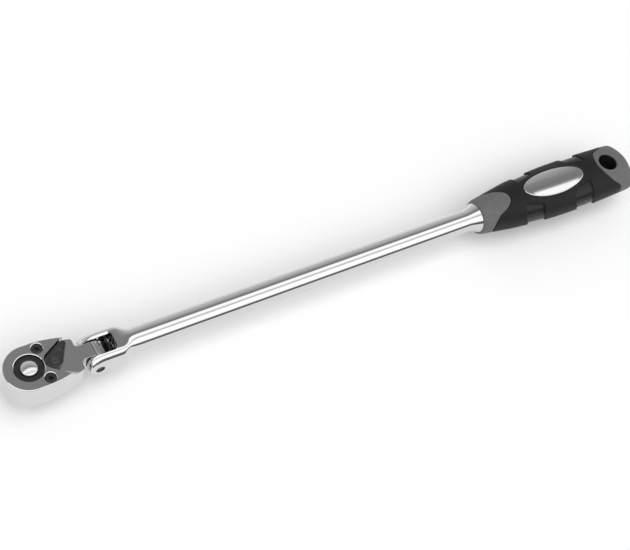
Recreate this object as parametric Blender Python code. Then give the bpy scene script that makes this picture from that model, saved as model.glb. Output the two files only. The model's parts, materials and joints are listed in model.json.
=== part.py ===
"""Quick-release ratchet wrench with an indexing flex head and a moulded grip.

The wrench lies along +X with its lever side up.  The origin is the centre of the square drive's end
face.  Lengths below are in millimetres and heights are measured from the axis of the round bar; MM turns
them into metres, and the "wrench" empty lifts everything so that the drive ends at height zero.
"""

import math

import bmesh
import bpy
from mathutils import Matrix, Vector

MM = 0.001

# Fits
GAP = 0.3
RUNNING = 0.12

# Square drive and ratchet gear (3/8 inch square)
SQUARE = 9.53
SQUARE_END = -18.6
SQUARE_TOP = -8.4
GEAR_TEETH = 72
GEAR_TIP = 9.35
GEAR_ROOT = 8.85
GEAR_LOW = -5.3
GEAR_HIGH = 4.9
JOURNAL = 8.0
JOURNAL_TOP = 7.5
COLLAR = 6.9
SPRING_SEAT = 1.0
BUTTON_WELL = 5.0
CAP_LOW = 7.8
CAP_TOP = 9.4
BALL = 1.7
BALL_HEIGHT = -13.5
BALL_PROUD = 0.6
STEM = 1.6
STEM_END = -15.0
STEM_BORE_END = -17.3
STEM_NECK = 0.95
BUTTON = 4.7
BUTTON_SKIRT = 6.2
BUTTON_EDGE = 9.9
BUTTON_TOP = 11.75
RELEASE_COIL = (3.2, 0.4)

# Head
HEAD_TOP = 10.5
HEAD_BOTTOM = -7.8
HEAD_RADIUS = 14.05
SHOULDER = (27.4, 9.8)
FILLET = 2.2
TANG_HALF = 4.5
TANG_TOP = 6.9
TANG_ROOT = 20.0
SCREW_PLACE = (8.2, 9.6)
SCREW_HEAD = 3.05
SCREW_SHANK = 1.6
SCREW_SEAT = (7.5, 9.1)
STAR = (1.35, 0.25)
PLATE_RIM = 1.5
PLATE_END = 24.0
PLATE_TOP = -6.2
PLATE_HOLE = 7.3
CHAMBER = 9.7
CHAMBER_TOP = 5.2
CHAMBER_LOW = -7.0
CAP_BORE_LOW = 3.0

# Reversing lever and pawl
LEVER_X = 14.4
LEVER_ANGLE = 45.7
LEVER_REACH = 11.3
LEVER_FAT = 4.8
LEVER_TIP = 1.8
LEVER_LOW = 7.25
LEVER_TOP = 9.5
LEVER_FLOOR = 8.7
LEVER_RIM = 0.9
LEVER_BOSS = (2.3, 9.3)
LEVER_STEM = 2.5
LEVER_STEM_END = -4.6
CLIP = (3.6, 4.3, 4.9)
CLIP_WELL = 4.0
CLIP_OPENING = 35.0
DETENT_HEIGHT = -0.6
DETENT_BORE = 1.15
FAN_ANGLE = 30.0
FAN_RADIUS = 5.3
PAWL_ROCK = 5.0
PAWL_REACH = 28
PAWL_BACK = 11.45
PAWL_LOW = -5.2
PAWL_TOP = 4.0
POCKET = (6.0, 13.4, 36)
POCKET_LOW = -6.8

# Flex joint
PIN_X = 37.3
PIN = 2.5
PIN_END = 9.6
NOTCH_STEP = 22.5
NOTCH_DEPTH = 0.7
FORK_HALF_WIDTH = 10.4
FORK_HALF_HEIGHT = 8.8
FORK_FRONT = 31.5
EAR_ROUND = 41.0
SLOT_HALF = 5.1
SLOT_END = 49.3
SPRING_BORE = 4.3
SPRING_BORE_END = 60.0
SLOT_CORNER = 1.6
FORK_CHAMFER = (2.9, 3.8)
PLUNGER_HALF = 4.6
PLUNGER_BACK = 46.8
PLUNGER_STEM = (2.3, 56.0)
INDEX_COIL = (3.3, 0.5)

# Bar and grip
BAR = 7.25
FLARE = 9.6
FLARE_PROFILE = (
    (293.8, BAR), (296.2, 7.45), (298.2, 7.9), (300.1, 8.7), (301.6, FLARE),
)
TAIL = 6.3
TAIL_END = 395.0
GRIP_START = 301.8
GRIP_END = 427.6
GRIP_HALF_HEIGHT = 12.3
GRIP_EXPONENT = 2.3
GRIP_HALF_WIDTHS = (
    (303.8, 11.0), (318.5, 13.4), (333.5, 15.7), (362.5, 17.9), (391.0, 18.2), (413.0, 17.5), (424.0, 16.7),
)
GRIP_FRONT_TAPER = (1.3, 325.0)
GRIP_TAIL = ((423.4, 0.0), (424.8, 1.1), (426.0, 4.8), (426.9, 9.2), (GRIP_END, 13.0))
PANELS = ((336.0, 349.5), (378.0, 393.0))
PANEL_DEPTH = 0.9
SKIN = 2.6
BADGE = (362.6, 24.7, 9.6)
BADGE_LOW = 10.6
BADGE_SEAT = 10.3
BADGE_PROUD = 0.1
HOLE_X = 410.4
HOLE = 6.4
HOLE_MOUTH = 8.0
CUT = 16.0

COLOURS = {
    "chrome": ((0.62, 0.62, 0.63), 0.12, 1.0),
    "black_steel": ((0.02, 0.02, 0.022), 0.35, 0.6),
    "steel": ((0.45, 0.45, 0.46), 0.3, 1.0),
    "lever_grey": ((0.06, 0.06, 0.065), 0.4, 0.5),
    "grip_grey": ((0.14, 0.14, 0.145), 0.6, 0.0),
    "grip_black": ((0.015, 0.016, 0.018), 0.65, 0.0),
    "badge": ((0.7, 0.7, 0.71), 0.2, 1.0),
}


def clear_scene():
    """Remove every object that is already in the scene."""
    for old in list(bpy.data.objects):
        bpy.data.objects.remove(old, do_unlink=True)


def finish(name, key):
    """A Principled material of its own for one piece."""
    colour, roughness, metallic = COLOURS[key]
    material = bpy.data.materials.new(name)
    material.use_nodes = True
    shader = material.node_tree.nodes["Principled BSDF"]
    shader.inputs["Base Color"].default_value = (*colour, 1.0)
    shader.inputs["Roughness"].default_value = roughness
    shader.inputs["Metallic"].default_value = metallic
    return material


def frame_empty(name, place, parent=None):
    """An empty on a body's joint; place is in millimetres from the bar's axis."""
    empty = bpy.data.objects.new(name, None)
    empty["place"] = place
    offset = Vector(place) - Vector(parent["place"] if parent else (0, 0, 0))
    empty.location = offset * MM
    empty.parent = parent
    bpy.context.collection.objects.link(empty)
    return empty


def add_piece(name, bm, key, parent):
    """Turn a mesh drawn in millimetres into a named piece under its parent empty."""
    bmesh.ops.remove_doubles(bm, verts=bm.verts, dist=1e-4)
    bmesh.ops.recalc_face_normals(bm, faces=bm.faces)
    bmesh.ops.translate(bm, verts=bm.verts, vec=-Vector(parent["place"]))
    bmesh.ops.scale(bm, verts=bm.verts, vec=(MM, MM, MM))
    mesh = bpy.data.meshes.new(name)
    bm.to_mesh(mesh)
    bm.free()
    piece = bpy.data.objects.new(name, mesh)
    piece.parent = parent
    bpy.context.collection.objects.link(piece)
    if key:
        mesh.materials.append(finish(name, key))
        mesh.shade_smooth()
        mesh.set_sharp_from_angle(angle=math.radians(35))
    return piece


def combine(piece, bm, operation="DIFFERENCE"):
    """Cut a piece with, join it to, or keep its overlap with another mesh, and return that helper."""
    name = f"{piece.name}_shape_{len(piece.modifiers)}"
    guide = add_piece(name, bm, None, piece.parent)
    guide.hide_render = True
    guide.display_type = "WIRE"
    apply_boolean(piece, guide, operation)
    return guide


def apply_boolean(piece, guide, operation):
    """Let a helper shape work on a piece."""
    boolean = piece.modifiers.new(guide.name, "BOOLEAN")
    boolean.operation = operation
    boolean.solver = "EXACT"
    boolean.object = guide


def loft(rings):
    """A closed skin through rings of equally many points, with flat ends."""
    bm = bmesh.new()
    rows = [[bm.verts.new(point) for point in ring] for ring in rings]
    count = len(rows[0])
    for low, high in zip(rows, rows[1:]):
        for i in range(count):
            j = (i + 1) % count
            bm.faces.new((low[i], low[j], high[j], high[i]))
    bm.faces.new(reversed(rows[0]))
    bm.faces.new(rows[-1])
    return bm


def prism(outline, low, high):
    """An outline in plan, raised from low to high."""
    bm = bmesh.new()
    face = bm.faces.new([bm.verts.new((x, y, low)) for x, y in outline])
    raised = bmesh.ops.extrude_face_region(bm, geom=[face])
    top = [v for v in raised["geom"] if isinstance(v, bmesh.types.BMVert)]
    bmesh.ops.translate(bm, verts=top, vec=(0, 0, high - low))
    return bm


def side_prism(outline, half_width):
    """An outline of (x, z) points, extruded across the wrench."""
    bm = prism(outline, -half_width, half_width)
    bmesh.ops.rotate(bm, verts=bm.verts, matrix=Matrix.Rotation(math.radians(90), 3, "X"))
    return bm


def turned(profile, steps=32, centre=(0, 0)):
    """Spin a profile of (radius, height) points about an upright axis."""
    bm = bmesh.new()
    points = [bm.verts.new((centre[0] + radius, centre[1], height)) for radius, height in profile]
    edges = [bm.edges.new(pair) for pair in zip(points, points[1:])]
    if profile[0][0] > 0 and profile[-1][0] > 0:
        edges.append(bm.edges.new((points[-1], points[0])))
    bmesh.ops.spin(
        bm, geom=points + edges, cent=(*centre, 0), axis=(0, 0, 1), angle=math.tau,
        steps=steps, use_merge=True,
    )
    bmesh.ops.remove_doubles(bm, verts=bm.verts, dist=1e-4)
    return bm


def drum(radius, low, high, steps=32, centre=(0, 0)):
    """A plain cylinder about an upright axis."""
    return turned([(0, low), (radius, low), (radius, high), (0, high)], steps, centre)


def tip_over(bm, axis, angle, place):
    """Turn a mesh about the origin and then carry it to its place."""
    bmesh.ops.rotate(bm, verts=bm.verts, matrix=Matrix.Rotation(math.radians(angle), 3, axis))
    bmesh.ops.translate(bm, verts=bm.verts, vec=place)
    return bm


def arc(centre, radius, start, end, steps):
    """Points along an arc, angles in degrees."""
    angles = [math.radians(start + (end - start) * i / steps) for i in range(steps + 1)]
    return [(centre[0] + radius * math.cos(a), centre[1] + radius * math.sin(a)) for a in angles]


def teardrop(fat, reach, tip, angle=0.0, centre=(0, 0), steps=12):
    """Two circles joined by their tangents: fat at the centre, tip at the end of reach."""
    lean = math.degrees(math.acos((fat - tip) / reach))
    far = (reach, 0.0)
    points = arc(far, tip, -lean, lean, steps // 2) + arc((0, 0), fat, lean, 360 - lean, steps)
    turn = math.radians(angle)
    cosine, sine = math.cos(turn), math.sin(turn)
    return [
        (centre[0] + x * cosine - y * sine, centre[1] + x * sine + y * cosine)
        for x, y in points
    ]


def coil(radius, wire, low, high, turns, steps=10, sides=4):
    """A closed helical wire about an upright axis, between two heights."""
    rings = []
    total = turns * steps
    for i in range(total + 1):
        a = math.tau * i / steps
        height = low + wire + (high - low - 2 * wire) * i / total
        outward = Vector((math.cos(a), math.sin(a), 0))
        ring = []
        for k in range(sides):
            b = math.tau * k / sides
            spot = outward * (radius + wire * math.cos(b))
            spot.z = height + wire * math.sin(b)
            ring.append(spot)
        rings.append(ring)
    return loft(rings)


# ---------------------------------------------------------------- head


def head_side(rim=0.0, steps=8):
    """Half of the pear outline, from the nose round to the shoulder, set in by a rim."""
    radius = HEAD_RADIUS - rim
    nose = arc((0, 0), radius, 180, 90, 12)
    start, bend, end = (6.0, radius), (15.2, radius), (SHOULDER[0], SHOULDER[1] - rim)
    side = []
    for i in range(steps + 1):
        t = i / steps
        side.append(tuple(
            (1 - t) ** 2 * a + 2 * t * (1 - t) * b + t * t * c
            for a, b, c in zip(start, bend, end)
        ))
    return nose + side


def mirrored(half):
    """Close a half outline that starts on the long axis by mirroring it across."""
    return half + [(x, -y) for x, y in reversed(half) if abs(y) > 1e-6]


def head_outline():
    """The pear with its shoulders and the fillets that run into the tang."""
    x = SHOULDER[0]
    corner = TANG_HALF + FILLET
    fillet = arc((x + FILLET, corner), FILLET, 180, 270, 4)
    return mirrored(head_side() + [(x, SHOULDER[1] - 0.9)] + fillet)


def drum_outline():
    """Side view of the tang: a drum about the flex pin with index notches, and its root."""
    points = [(TANG_ROOT, -TANG_TOP), (PIN_X - 2.0, -TANG_TOP)]
    half = math.degrees(NOTCH_DEPTH / TANG_TOP)
    for k in range(-4, 5):
        middle = k * NOTCH_STEP
        for offset, radius in ((-half, TANG_TOP), (0, TANG_TOP - NOTCH_DEPTH), (half, TANG_TOP)):
            a = math.radians(middle + offset)
            points.append((PIN_X + radius * math.cos(a), radius * math.sin(a)))
    points.append((TANG_ROOT, TANG_TOP))
    return points


def fan_outline():
    """The lowered fan in the top face, which lets the lever swing and runs out over the shoulders."""
    a = math.radians(FAN_ANGLE)
    reach = 40.0
    edge = (LEVER_X - FAN_RADIUS * math.sin(a), FAN_RADIUS * math.cos(a))
    half = [
        (LEVER_X + FAN_RADIUS * math.cos(b), FAN_RADIUS * math.sin(b))
        for b in (math.radians(180 - (90 - FAN_ANGLE) * i / 6) for i in range(7))
    ]
    half.append((edge[0] + reach * math.cos(a), edge[1] + reach * math.sin(a)))
    return mirrored(half)


def pocket_outline():
    """Plan of the pocket that the pawl rocks in."""
    inner, outer, reach = POCKET
    return arc((0, 0), inner, -reach, reach, 4) + arc((0, 0), outer, reach, -reach, 10)


def screw_profile(clearance=0.0):
    """Countersunk screw, from its tip up; clearance makes the hole that takes it."""
    top = HEAD_TOP + 1.0 if clearance else HEAD_TOP - 0.5
    low = HEAD_BOTTOM - 1.0 if clearance else HEAD_BOTTOM + 0.2
    head = SCREW_HEAD + clearance
    shank = SCREW_SHANK + clearance
    return [(0, low), (shank, low), (shank, SCREW_SEAT[0]), (head, SCREW_SEAT[1]), (head, top), (0, top)]


def make_head_housing(body):
    """Housing with its tang, the lowered fan, and the rooms for the gear, pawl and lever."""
    housing = add_piece("head_housing", prism(head_outline(), HEAD_BOTTOM, HEAD_TOP), "chrome", body)
    combine(housing, side_prism(drum_outline(), TANG_HALF), "UNION")
    combine(housing, prism(fan_outline(), TANG_TOP + 0.02, HEAD_TOP + 2))
    plate = mirrored([p for p in head_side(PLATE_RIM - GAP) if p[0] < PLATE_END])
    combine(housing, prism(plate, HEAD_BOTTOM - 1, PLATE_TOP + GAP))
    combine(housing, drum(JOURNAL + GAP, CAP_BORE_LOW, HEAD_TOP + 1, 32))
    combine(housing, drum(CHAMBER, CHAMBER_LOW, CHAMBER_TOP, 36))
    combine(housing, prism(pocket_outline(), POCKET_LOW, GEAR_HIGH))
    combine(housing, drum(LEVER_STEM + RUNNING, PAWL_TOP, 8.0, 20, (LEVER_X, 0)))
    combine(housing, drum(CLIP_WELL, -6.6, CHAMBER_TOP - 0.1, 20, (LEVER_X, 0)))
    for side in (-1, 1):
        place = (SCREW_PLACE[0], side * SCREW_PLACE[1])
        combine(housing, turned(screw_profile(GAP), 16, place))
    pin_hole = drum(PIN + RUNNING, -6.0, 6.0, 24)
    combine(housing, tip_over(pin_hole, "X", 90, (PIN_X, 0, 0)))


def make_cover_plate(body):
    """Plate that closes the drive side of the housing."""
    outline = mirrored([p for p in head_side(PLATE_RIM) if p[0] < PLATE_END])
    plate = add_piece("cover_plate", prism(outline, HEAD_BOTTOM, PLATE_TOP), "chrome", body)
    combine(plate, drum(PLATE_HOLE, HEAD_BOTTOM - 1, PLATE_TOP + 1.2, 32))
    for side in (-1, 1):
        place = (SCREW_PLACE[0], side * SCREW_PLACE[1])
        combine(plate, drum(SCREW_SHANK + GAP, HEAD_BOTTOM - 1, PLATE_TOP + 1.2, 16, place))


def make_cover_screws(body):
    """Two countersunk screws with star sockets."""
    for name, side in (("cover_screw_left", 1), ("cover_screw_right", -1)):
        place = (SCREW_PLACE[0], side * SCREW_PLACE[1])
        screw = add_piece(name, turned(screw_profile(), 16, place), "black_steel", body)
        star = []
        for i in range(12):
            a = math.tau * i / 12
            radius = STAR[0] + STAR[1] * math.cos(6 * a)
            star.append((place[0] + radius * math.cos(a), place[1] + radius * math.sin(a)))
        combine(screw, prism(star, HEAD_TOP - 2.2, HEAD_TOP + 1))


def gear_outline():
    """Plan of the fine ratchet teeth."""
    points = []
    for i in range(GEAR_TEETH):
        for offset, radius in ((0.0, GEAR_TIP), (0.5, GEAR_ROOT)):
            a = math.tau * (i + offset) / GEAR_TEETH
            points.append((radius * math.cos(a), radius * math.sin(a)))
    return points


def square_ring(half, height):
    """Section of the square drive with its corners broken."""
    corner = half * 0.74
    quarter = [(half, corner), (corner, half)]
    ring = []
    for k in range(4):
        a = math.radians(90 * k)
        for x, y in quarter:
            ring.append((x * math.cos(a) - y * math.sin(a), x * math.sin(a) + y * math.cos(a), height))
    return ring


def make_drive_anvil(drive):
    """Ratchet gear, its journal and the square drive in one, bored for the button and the ball."""
    anvil = add_piece("drive_anvil", prism(gear_outline(), GEAR_LOW, GEAR_HIGH), "steel", drive)
    chamfer = 0.3
    shaft = [(0, SQUARE_TOP), (COLLAR - chamfer, SQUARE_TOP), (COLLAR, SQUARE_TOP + chamfer)]
    shaft += [(COLLAR, 0), (JOURNAL, 0), (JOURNAL, JOURNAL_TOP), (0, JOURNAL_TOP)]
    combine(anvil, turned(shaft, 32), "UNION")
    half = SQUARE / 2
    lead = 0.7
    rings = [square_ring(half - lead, SQUARE_END), square_ring(half, SQUARE_END + lead)]
    rings.append(square_ring(half, SQUARE_TOP + 1))
    combine(anvil, loft(rings), "UNION")
    bore = STEM + RUNNING + 0.1
    stepped = [(0, STEM_BORE_END), (bore, STEM_BORE_END), (bore, SPRING_SEAT)]
    stepped += [(BUTTON_WELL, SPRING_SEAT), (BUTTON_WELL, 9.0), (0, 9.0)]
    combine(anvil, turned(stepped, 24))
    ball_hole = drum(BALL + 0.15, 1.0, 7.0, 16)
    combine(anvil, tip_over(ball_hole, "Y", -90, (0, 0, BALL_HEIGHT)))


def make_anvil_cap(drive):
    """Black disc round the button, pressed on the anvil's journal."""
    profile = [(BUTTON_WELL, CAP_LOW), (JOURNAL, CAP_LOW), (JOURNAL, CAP_TOP - 0.5)]
    profile += [(JOURNAL - 0.5, CAP_TOP), (BUTTON_WELL + 0.2, CAP_TOP), (BUTTON_WELL, CAP_TOP - 0.2)]
    add_piece("anvil_cap", turned(profile, 32), "black_steel", drive)


def make_release_button(button):
    """Domed button with its stem; the neck of the stem lets the lock ball in when it is pressed."""
    rise = BUTTON_TOP - BUTTON_EDGE
    angles = [math.radians(a) for a in range(0, 90, 22)]
    dome = [(BUTTON * math.cos(a), BUTTON_EDGE + rise * math.sin(a)) for a in angles]
    neck = BALL_HEIGHT + 0.3
    slope = 0.65
    neck_top = neck + 3.4
    profile = [(0, STEM_END), (STEM - 0.3, STEM_END), (STEM, STEM_END + 0.3)]
    profile += [(STEM, neck), (STEM_NECK, neck + slope), (STEM_NECK, neck_top - slope), (STEM, neck_top)]
    profile += [(STEM, BUTTON_SKIRT), (BUTTON, BUTTON_SKIRT)] + dome + [(0, BUTTON_TOP)]
    add_piece("release_button", turned(profile, 24), "chrome", button)


def make_release_spring(drive):
    """Coil between the anvil's seat and the button's skirt."""
    bm = coil(*RELEASE_COIL, SPRING_SEAT + GAP, BUTTON_SKIRT - GAP, 4)
    add_piece("release_spring", bm, "steel", drive)


def make_lock_ball(ball):
    """Ball that holds a socket on the square."""
    bm = bmesh.new()
    bmesh.ops.create_uvsphere(bm, u_segments=14, v_segments=8, radius=BALL)
    bmesh.ops.translate(bm, verts=bm.verts, vec=ball["place"])
    add_piece("lock_ball", bm, "steel", ball)


def make_pawl(pawl):
    """Crescent that rocks about the lever's stem, with one side at a time near the gear."""
    swing = LEVER_X * math.radians(PAWL_ROCK)
    outline = []
    for i in range(-11, 12):
        a = math.radians(PAWL_REACH * i / 11)
        depth = 0.0 if i % 2 else 0.3
        radius = GEAR_TIP + 0.17 + depth + swing * abs(math.sin(a))
        outline.append((radius * math.cos(a), radius * math.sin(a)))
    for degrees in range(PAWL_REACH, -PAWL_REACH - 1, -7):
        a = math.radians(degrees)
        radius = PAWL_BACK + 1.3 * abs(degrees) / PAWL_REACH
        outline.append((radius * math.cos(a), radius * math.sin(a)))
    bm = prism(outline, PAWL_LOW, PAWL_TOP)
    pivot = (LEVER_X, 0, 0)
    turn = Matrix.Rotation(math.radians(PAWL_ROCK), 3, "Z")
    bmesh.ops.rotate(bm, verts=bm.verts, cent=pivot, matrix=turn)
    add_piece("pawl", bm, "steel", pawl)


def make_reversing_lever(lever):
    """Teardrop lever with a raised rim, a pivot boss, and a stem that goes down to the pawl."""
    outline = teardrop(LEVER_FAT, LEVER_REACH, LEVER_TIP, LEVER_ANGLE, (LEVER_X, 0), 16)
    piece = add_piece("reversing_lever", prism(outline, LEVER_LOW, LEVER_TOP), "lever_grey", lever)
    fat = LEVER_FAT - LEVER_RIM
    inner = teardrop(fat, LEVER_REACH, LEVER_TIP - 0.7, LEVER_ANGLE, (LEVER_X, 0), 16)
    combine(piece, prism(inner, LEVER_FLOOR, LEVER_TOP + 1))
    combine(piece, drum(LEVER_BOSS[0], 8.0, LEVER_BOSS[1], 24, (LEVER_X, 0)), "UNION")
    combine(piece, drum(LEVER_STEM, LEVER_STEM_END, 8.0, 24, (LEVER_X, 0)), "UNION")
    bore = tip_over(drum(DETENT_BORE, 0.0, 4.0, 16), "Y", 90, (-0.7, 0, DETENT_HEIGHT))
    combine(piece, tip_over(bore, "Z", LEVER_ANGLE + 180, (LEVER_X, 0, 0)))


def make_lever_clip(lever):
    """Open retaining ring round the stem, under the housing's web."""
    radius, low, high = CLIP
    outline = arc((LEVER_X, 0), radius, CLIP_OPENING, 360 - CLIP_OPENING, 18)
    outline += arc((LEVER_X, 0), LEVER_STEM + 0.15, 360 - CLIP_OPENING, CLIP_OPENING, 18)
    add_piece("lever_clip", prism(outline, low, high), "steel", lever)


def make_detent(lever):
    """Spring and plunger in the stem's cross bore, pushing the pawl over."""
    plunger = turned([(0, 1.1), (1.0, 1.1), (1.0, 2.2), (0.6, 2.6), (0, 2.7)], 16)
    spring = coil(0.65, 0.18, -0.5, 1.0, 3, 8, 4)
    for name, bm in (("detent_plunger", plunger), ("detent_spring", spring)):
        tip_over(bm, "Y", 90, (0, 0, DETENT_HEIGHT))
        add_piece(name, tip_over(bm, "Z", LEVER_ANGLE + 180, (LEVER_X, 0, 0)), "steel", lever)


# ---------------------------------------------------------------- fork, bar and flex joint


def blend(value, low, high):
    """Smooth step from 0 at low to 1 at high."""
    t = min(1.0, max(0.0, (value - low) / (high - low)))
    return t * t * (3 - 2 * t)


def fork_ring(x, sides=24):
    """Section of the forging: a chamfered block in the fork that becomes the round bar."""
    height = FORK_HALF_HEIGHT
    power = 2.6
    if x < EAR_ROUND:
        height *= (1 - ((EAR_ROUND - x) / (EAR_ROUND - FORK_FRONT + 0.02)) ** power) ** (1 / power)
    roundness = blend(x, 50.5, 61.5)
    width = FORK_HALF_WIDTH + (BAR - FORK_HALF_WIDTH) * blend(x, 51.5, 62.5)
    height += (BAR - height) * blend(x, 49.5, 62.5)
    across, down = FORK_CHAMFER
    down *= min(1.0, height / FORK_HALF_HEIGHT)
    wall_end, chamfer_end = 25, 60
    quarter = []
    for k in range(sides // 4):
        degrees = 90 * k / (sides // 4)
        a = math.radians(degrees)
        if degrees < wall_end:
            block = (width, (height - down) * math.tan(a) / math.tan(math.radians(wall_end)))
        elif degrees < chamfer_end:
            t = (degrees - wall_end) / (chamfer_end - wall_end)
            block = (width - across * t, height - down * (1 - t))
        else:
            share = math.tan(math.pi / 2 - a) / math.tan(math.radians(90 - chamfer_end))
            block = ((width - across) * share, height)
        circle = (width * math.cos(a), height * math.sin(a))
        quarter.append(tuple(b + (c - b) * roundness for b, c in zip(block, circle)))
    return section_from_quarter(x, quarter)


def section_from_quarter(x, quarter):
    """Mirror a quarter section, from the side to just short of the top, all the way round."""
    top = (0.0, max(z for _, z in quarter))
    right = quarter + [top]
    left = [(-y, z) for y, z in reversed(quarter)]
    upper = right + left
    lower = [(-y, -z) for y, z in upper[1:-1]]
    return [(x, y, z) for y, z in upper + lower]


def make_handle_shank(handle):
    """Fork, neck, round bar, flare and the tail inside the grip, forged in one."""
    ears = [FORK_FRONT, 31.9, 32.8, 34.2, 36.2, 38.5, EAR_ROUND]
    neck = [49.5, 51.5, 53.5, 55.5, 57.5, 59.5, 61.5, 63.0]
    rings = [fork_ring(x) for x in ears + neck]
    circle = [(y / BAR, z / BAR) for _, y, z in rings[-1]]
    tail = ((GRIP_START - 0.1, TAIL), (TAIL_END - 1, TAIL), (TAIL_END, TAIL - 0.8))
    for x, radius in FLARE_PROFILE + tail:
        rings.append([(x, y * radius, z * radius) for y, z in circle])
    shank = add_piece("handle_shank", loft(rings), "chrome", handle)
    end, half = SLOT_END - SLOT_CORNER, SLOT_HALF - SLOT_CORNER
    slot = [(28.0, -SLOT_HALF)] + arc((end, -half), SLOT_CORNER, -90, 0, 4)
    slot += arc((end, half), SLOT_CORNER, 0, 90, 4) + [(28.0, SLOT_HALF)]
    combine(shank, prism(slot, -CUT, CUT))
    spring_bore = drum(SPRING_BORE, SLOT_END - 1, SPRING_BORE_END, 24)
    combine(shank, tip_over(spring_bore, "Y", 90, (0, 0, 0)))
    pin_hole = drum(PIN + RUNNING, -CUT, CUT, 24)
    combine(shank, tip_over(pin_hole, "X", 90, (PIN_X, 0, 0)))


def make_flex_pin(handle):
    """Cross pin of the flex joint, with its ends chamfered."""
    chamfer = 0.4
    half = [(0, PIN_END), (PIN - chamfer, PIN_END), (PIN, PIN_END - chamfer)]
    pin = turned([(radius, -height) for radius, height in half] + half[::-1], 24)
    add_piece("flex_pin", tip_over(pin, "X", 90, (PIN_X, 0, 0)), "black_steel", handle)


def make_index_plunger(plunger):
    """Block that slides in the fork's window, its wedge nose facing the notches, and a guide stem."""
    nose = PIN_X + TANG_TOP + 0.3
    face = nose + 0.9
    half = PLUNGER_HALF
    side = [(face, -half), (PLUNGER_BACK, -half), (PLUNGER_BACK, half), (face, half)]
    side += [(face, 0.9), (nose, 0.25), (nose, -0.25), (face, -0.9)]
    piece = add_piece("index_plunger", side_prism(side, SLOT_HALF - GAP), "black_steel", plunger)
    stem = drum(PLUNGER_STEM[0], PLUNGER_BACK - 0.8, PLUNGER_STEM[1], 20)
    combine(piece, tip_over(stem, "Y", 90, (0, 0, 0)), "UNION")


def make_index_spring(handle):
    """Coil between the plunger's block and the end of its bore."""
    spring = coil(*INDEX_COIL, PLUNGER_BACK + GAP, SPRING_BORE_END - GAP, 6)
    add_piece("index_spring", tip_over(spring, "Y", 90, (0, 0, 0)), "steel", handle)


# ---------------------------------------------------------------- grip


def grip_half_width(x):
    """Half width of the grip at x, joining the hand's swell smoothly."""
    spans = list(zip(GRIP_HALF_WIDTHS, GRIP_HALF_WIDTHS[1:]))
    (x0, w0), (x1, w1) = next((span for span in spans if x <= span[1][0]), spans[-1])
    return w0 + (w1 - w0) * (x - x0) / (x1 - x0)


def grip_ring(x, width, height, sides=24):
    """Oval section of the grip."""
    ring = []
    for i in range(sides):
        a = math.tau * i / sides
        c, s = math.cos(a), math.sin(a)
        y = width * math.copysign(abs(c) ** (2 / GRIP_EXPONENT), c)
        z = height * math.copysign(abs(s) ** (2 / GRIP_EXPONENT), s)
        ring.append((x, y, z))
    return ring


def grip_skin(inset=0.0):
    """The whole outer shape of the grip, or the same shape set in for the core."""
    steps = [(GRIP_START, 1.2), (GRIP_START + 0.8, 0.6), (GRIP_START + 2.2, 0.0)]
    steps += [(x, 0.0) for x in (316.0, 326.0)]
    for start, end in PANELS:
        steps += [(start - 1.5, 0.0), (start, PANEL_DEPTH), (end, PANEL_DEPTH), (end + 0.5, 0.0)]
        steps += [(end + 13.0, 0.0)]
    rings = []
    for x, drop in steps + list(GRIP_TAIL):
        width = grip_half_width(x) - drop - inset
        taper, full = GRIP_FRONT_TAPER
        height = GRIP_HALF_HEIGHT - inset - taper * (1 - blend(x, GRIP_START, full))
        if x >= GRIP_TAIL[0][0] or x < GRIP_START + 0.5:
            height -= drop * 0.25
        rings.append(grip_ring(x, width, height))
    return loft(rings)


def front_edge(y):
    """Plan edge between the grey front and the black sleeve: a round tongue between swept sides."""
    if abs(y) < 9.0:
        return 307.5 + 18.0 * math.sqrt(1 - (y / 9.4) ** 2)
    return 312.75 - 4.0 * blend(abs(y), 9.0, 13.0)


def rear_edge(y):
    """Plan edge between the black sleeve and the grey tail, curving round the hanging hole."""
    return 420.0 - 19.3 * math.sqrt(max(0.0, 1 - (y / 19.6) ** 2))


def sleeve_zone(gap):
    """The room of the black sleeve: between its plan edges and outside the core, drawn in by a gap."""
    rows = [-20 + 40 * i / 15 for i in range(16)]
    outline = [(front_edge(y) + gap, y) for y in reversed(rows)]
    outline += [(rear_edge(y) - gap, y) for y in rows]
    return prism(outline, -20, 20)


def grip_bore():
    """Hole along the grip for the shank's tail."""
    return tip_over(drum(TAIL + GAP, 300.0, TAIL_END + 0.5, 20), "Y", 90, (0, 0, 0))


def make_grip_core(handle):
    """Grey hard core: the full section at both ends, and slim under the black sleeve."""
    core = add_piece("grip_core", grip_skin(), "grip_grey", handle)
    sleeve = combine(core, sleeve_zone(0.0))
    combine(sleeve, grip_skin(SKIN + 0.15))
    combine(core, grip_bore())
    mouth = GRIP_HALF_HEIGHT - 0.4
    half = [(0, CUT), (HOLE_MOUTH, CUT), (HOLE_MOUTH, mouth), (HOLE, mouth - 0.9)]
    profile = [(radius, -height) for radius, height in half] + half[::-1]
    combine(core, turned(profile, 24, (HOLE_X, 0)))


def make_grip_overmould(handle):
    """Black rubber sleeve round the core, with the badge's seat in its top."""
    sleeve = add_piece("grip_overmould", grip_skin(), "grip_black", handle)
    combine(sleeve, sleeve_zone(GAP), "INTERSECT")
    combine(sleeve, grip_skin(SKIN - 0.15))
    combine(sleeve, badge_disc(BADGE_SEAT, CUT, GAP, flat=True))


def badge_disc(low, high, grow, flat=False):
    """Oval plate over the grip; its top follows the grip's crown unless it is flat."""
    x0, length, width = BADGE
    rings = []
    count = 40
    for height in (low, high):
        ring = []
        for i in range(count):
            a = math.tau * i / count
            x = x0 + (length + grow) * math.cos(a)
            y = (width + grow) * math.sin(a)
            share = (abs(y) / (grip_half_width(x0) + BADGE_PROUD)) ** GRIP_EXPONENT
            crown = GRIP_HALF_HEIGHT * (1 - share) ** (1 / GRIP_EXPONENT)
            z = height if flat or height == low else crown + high
            ring.append((x, y, z))
        rings.append(ring)
    return loft(rings)


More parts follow.
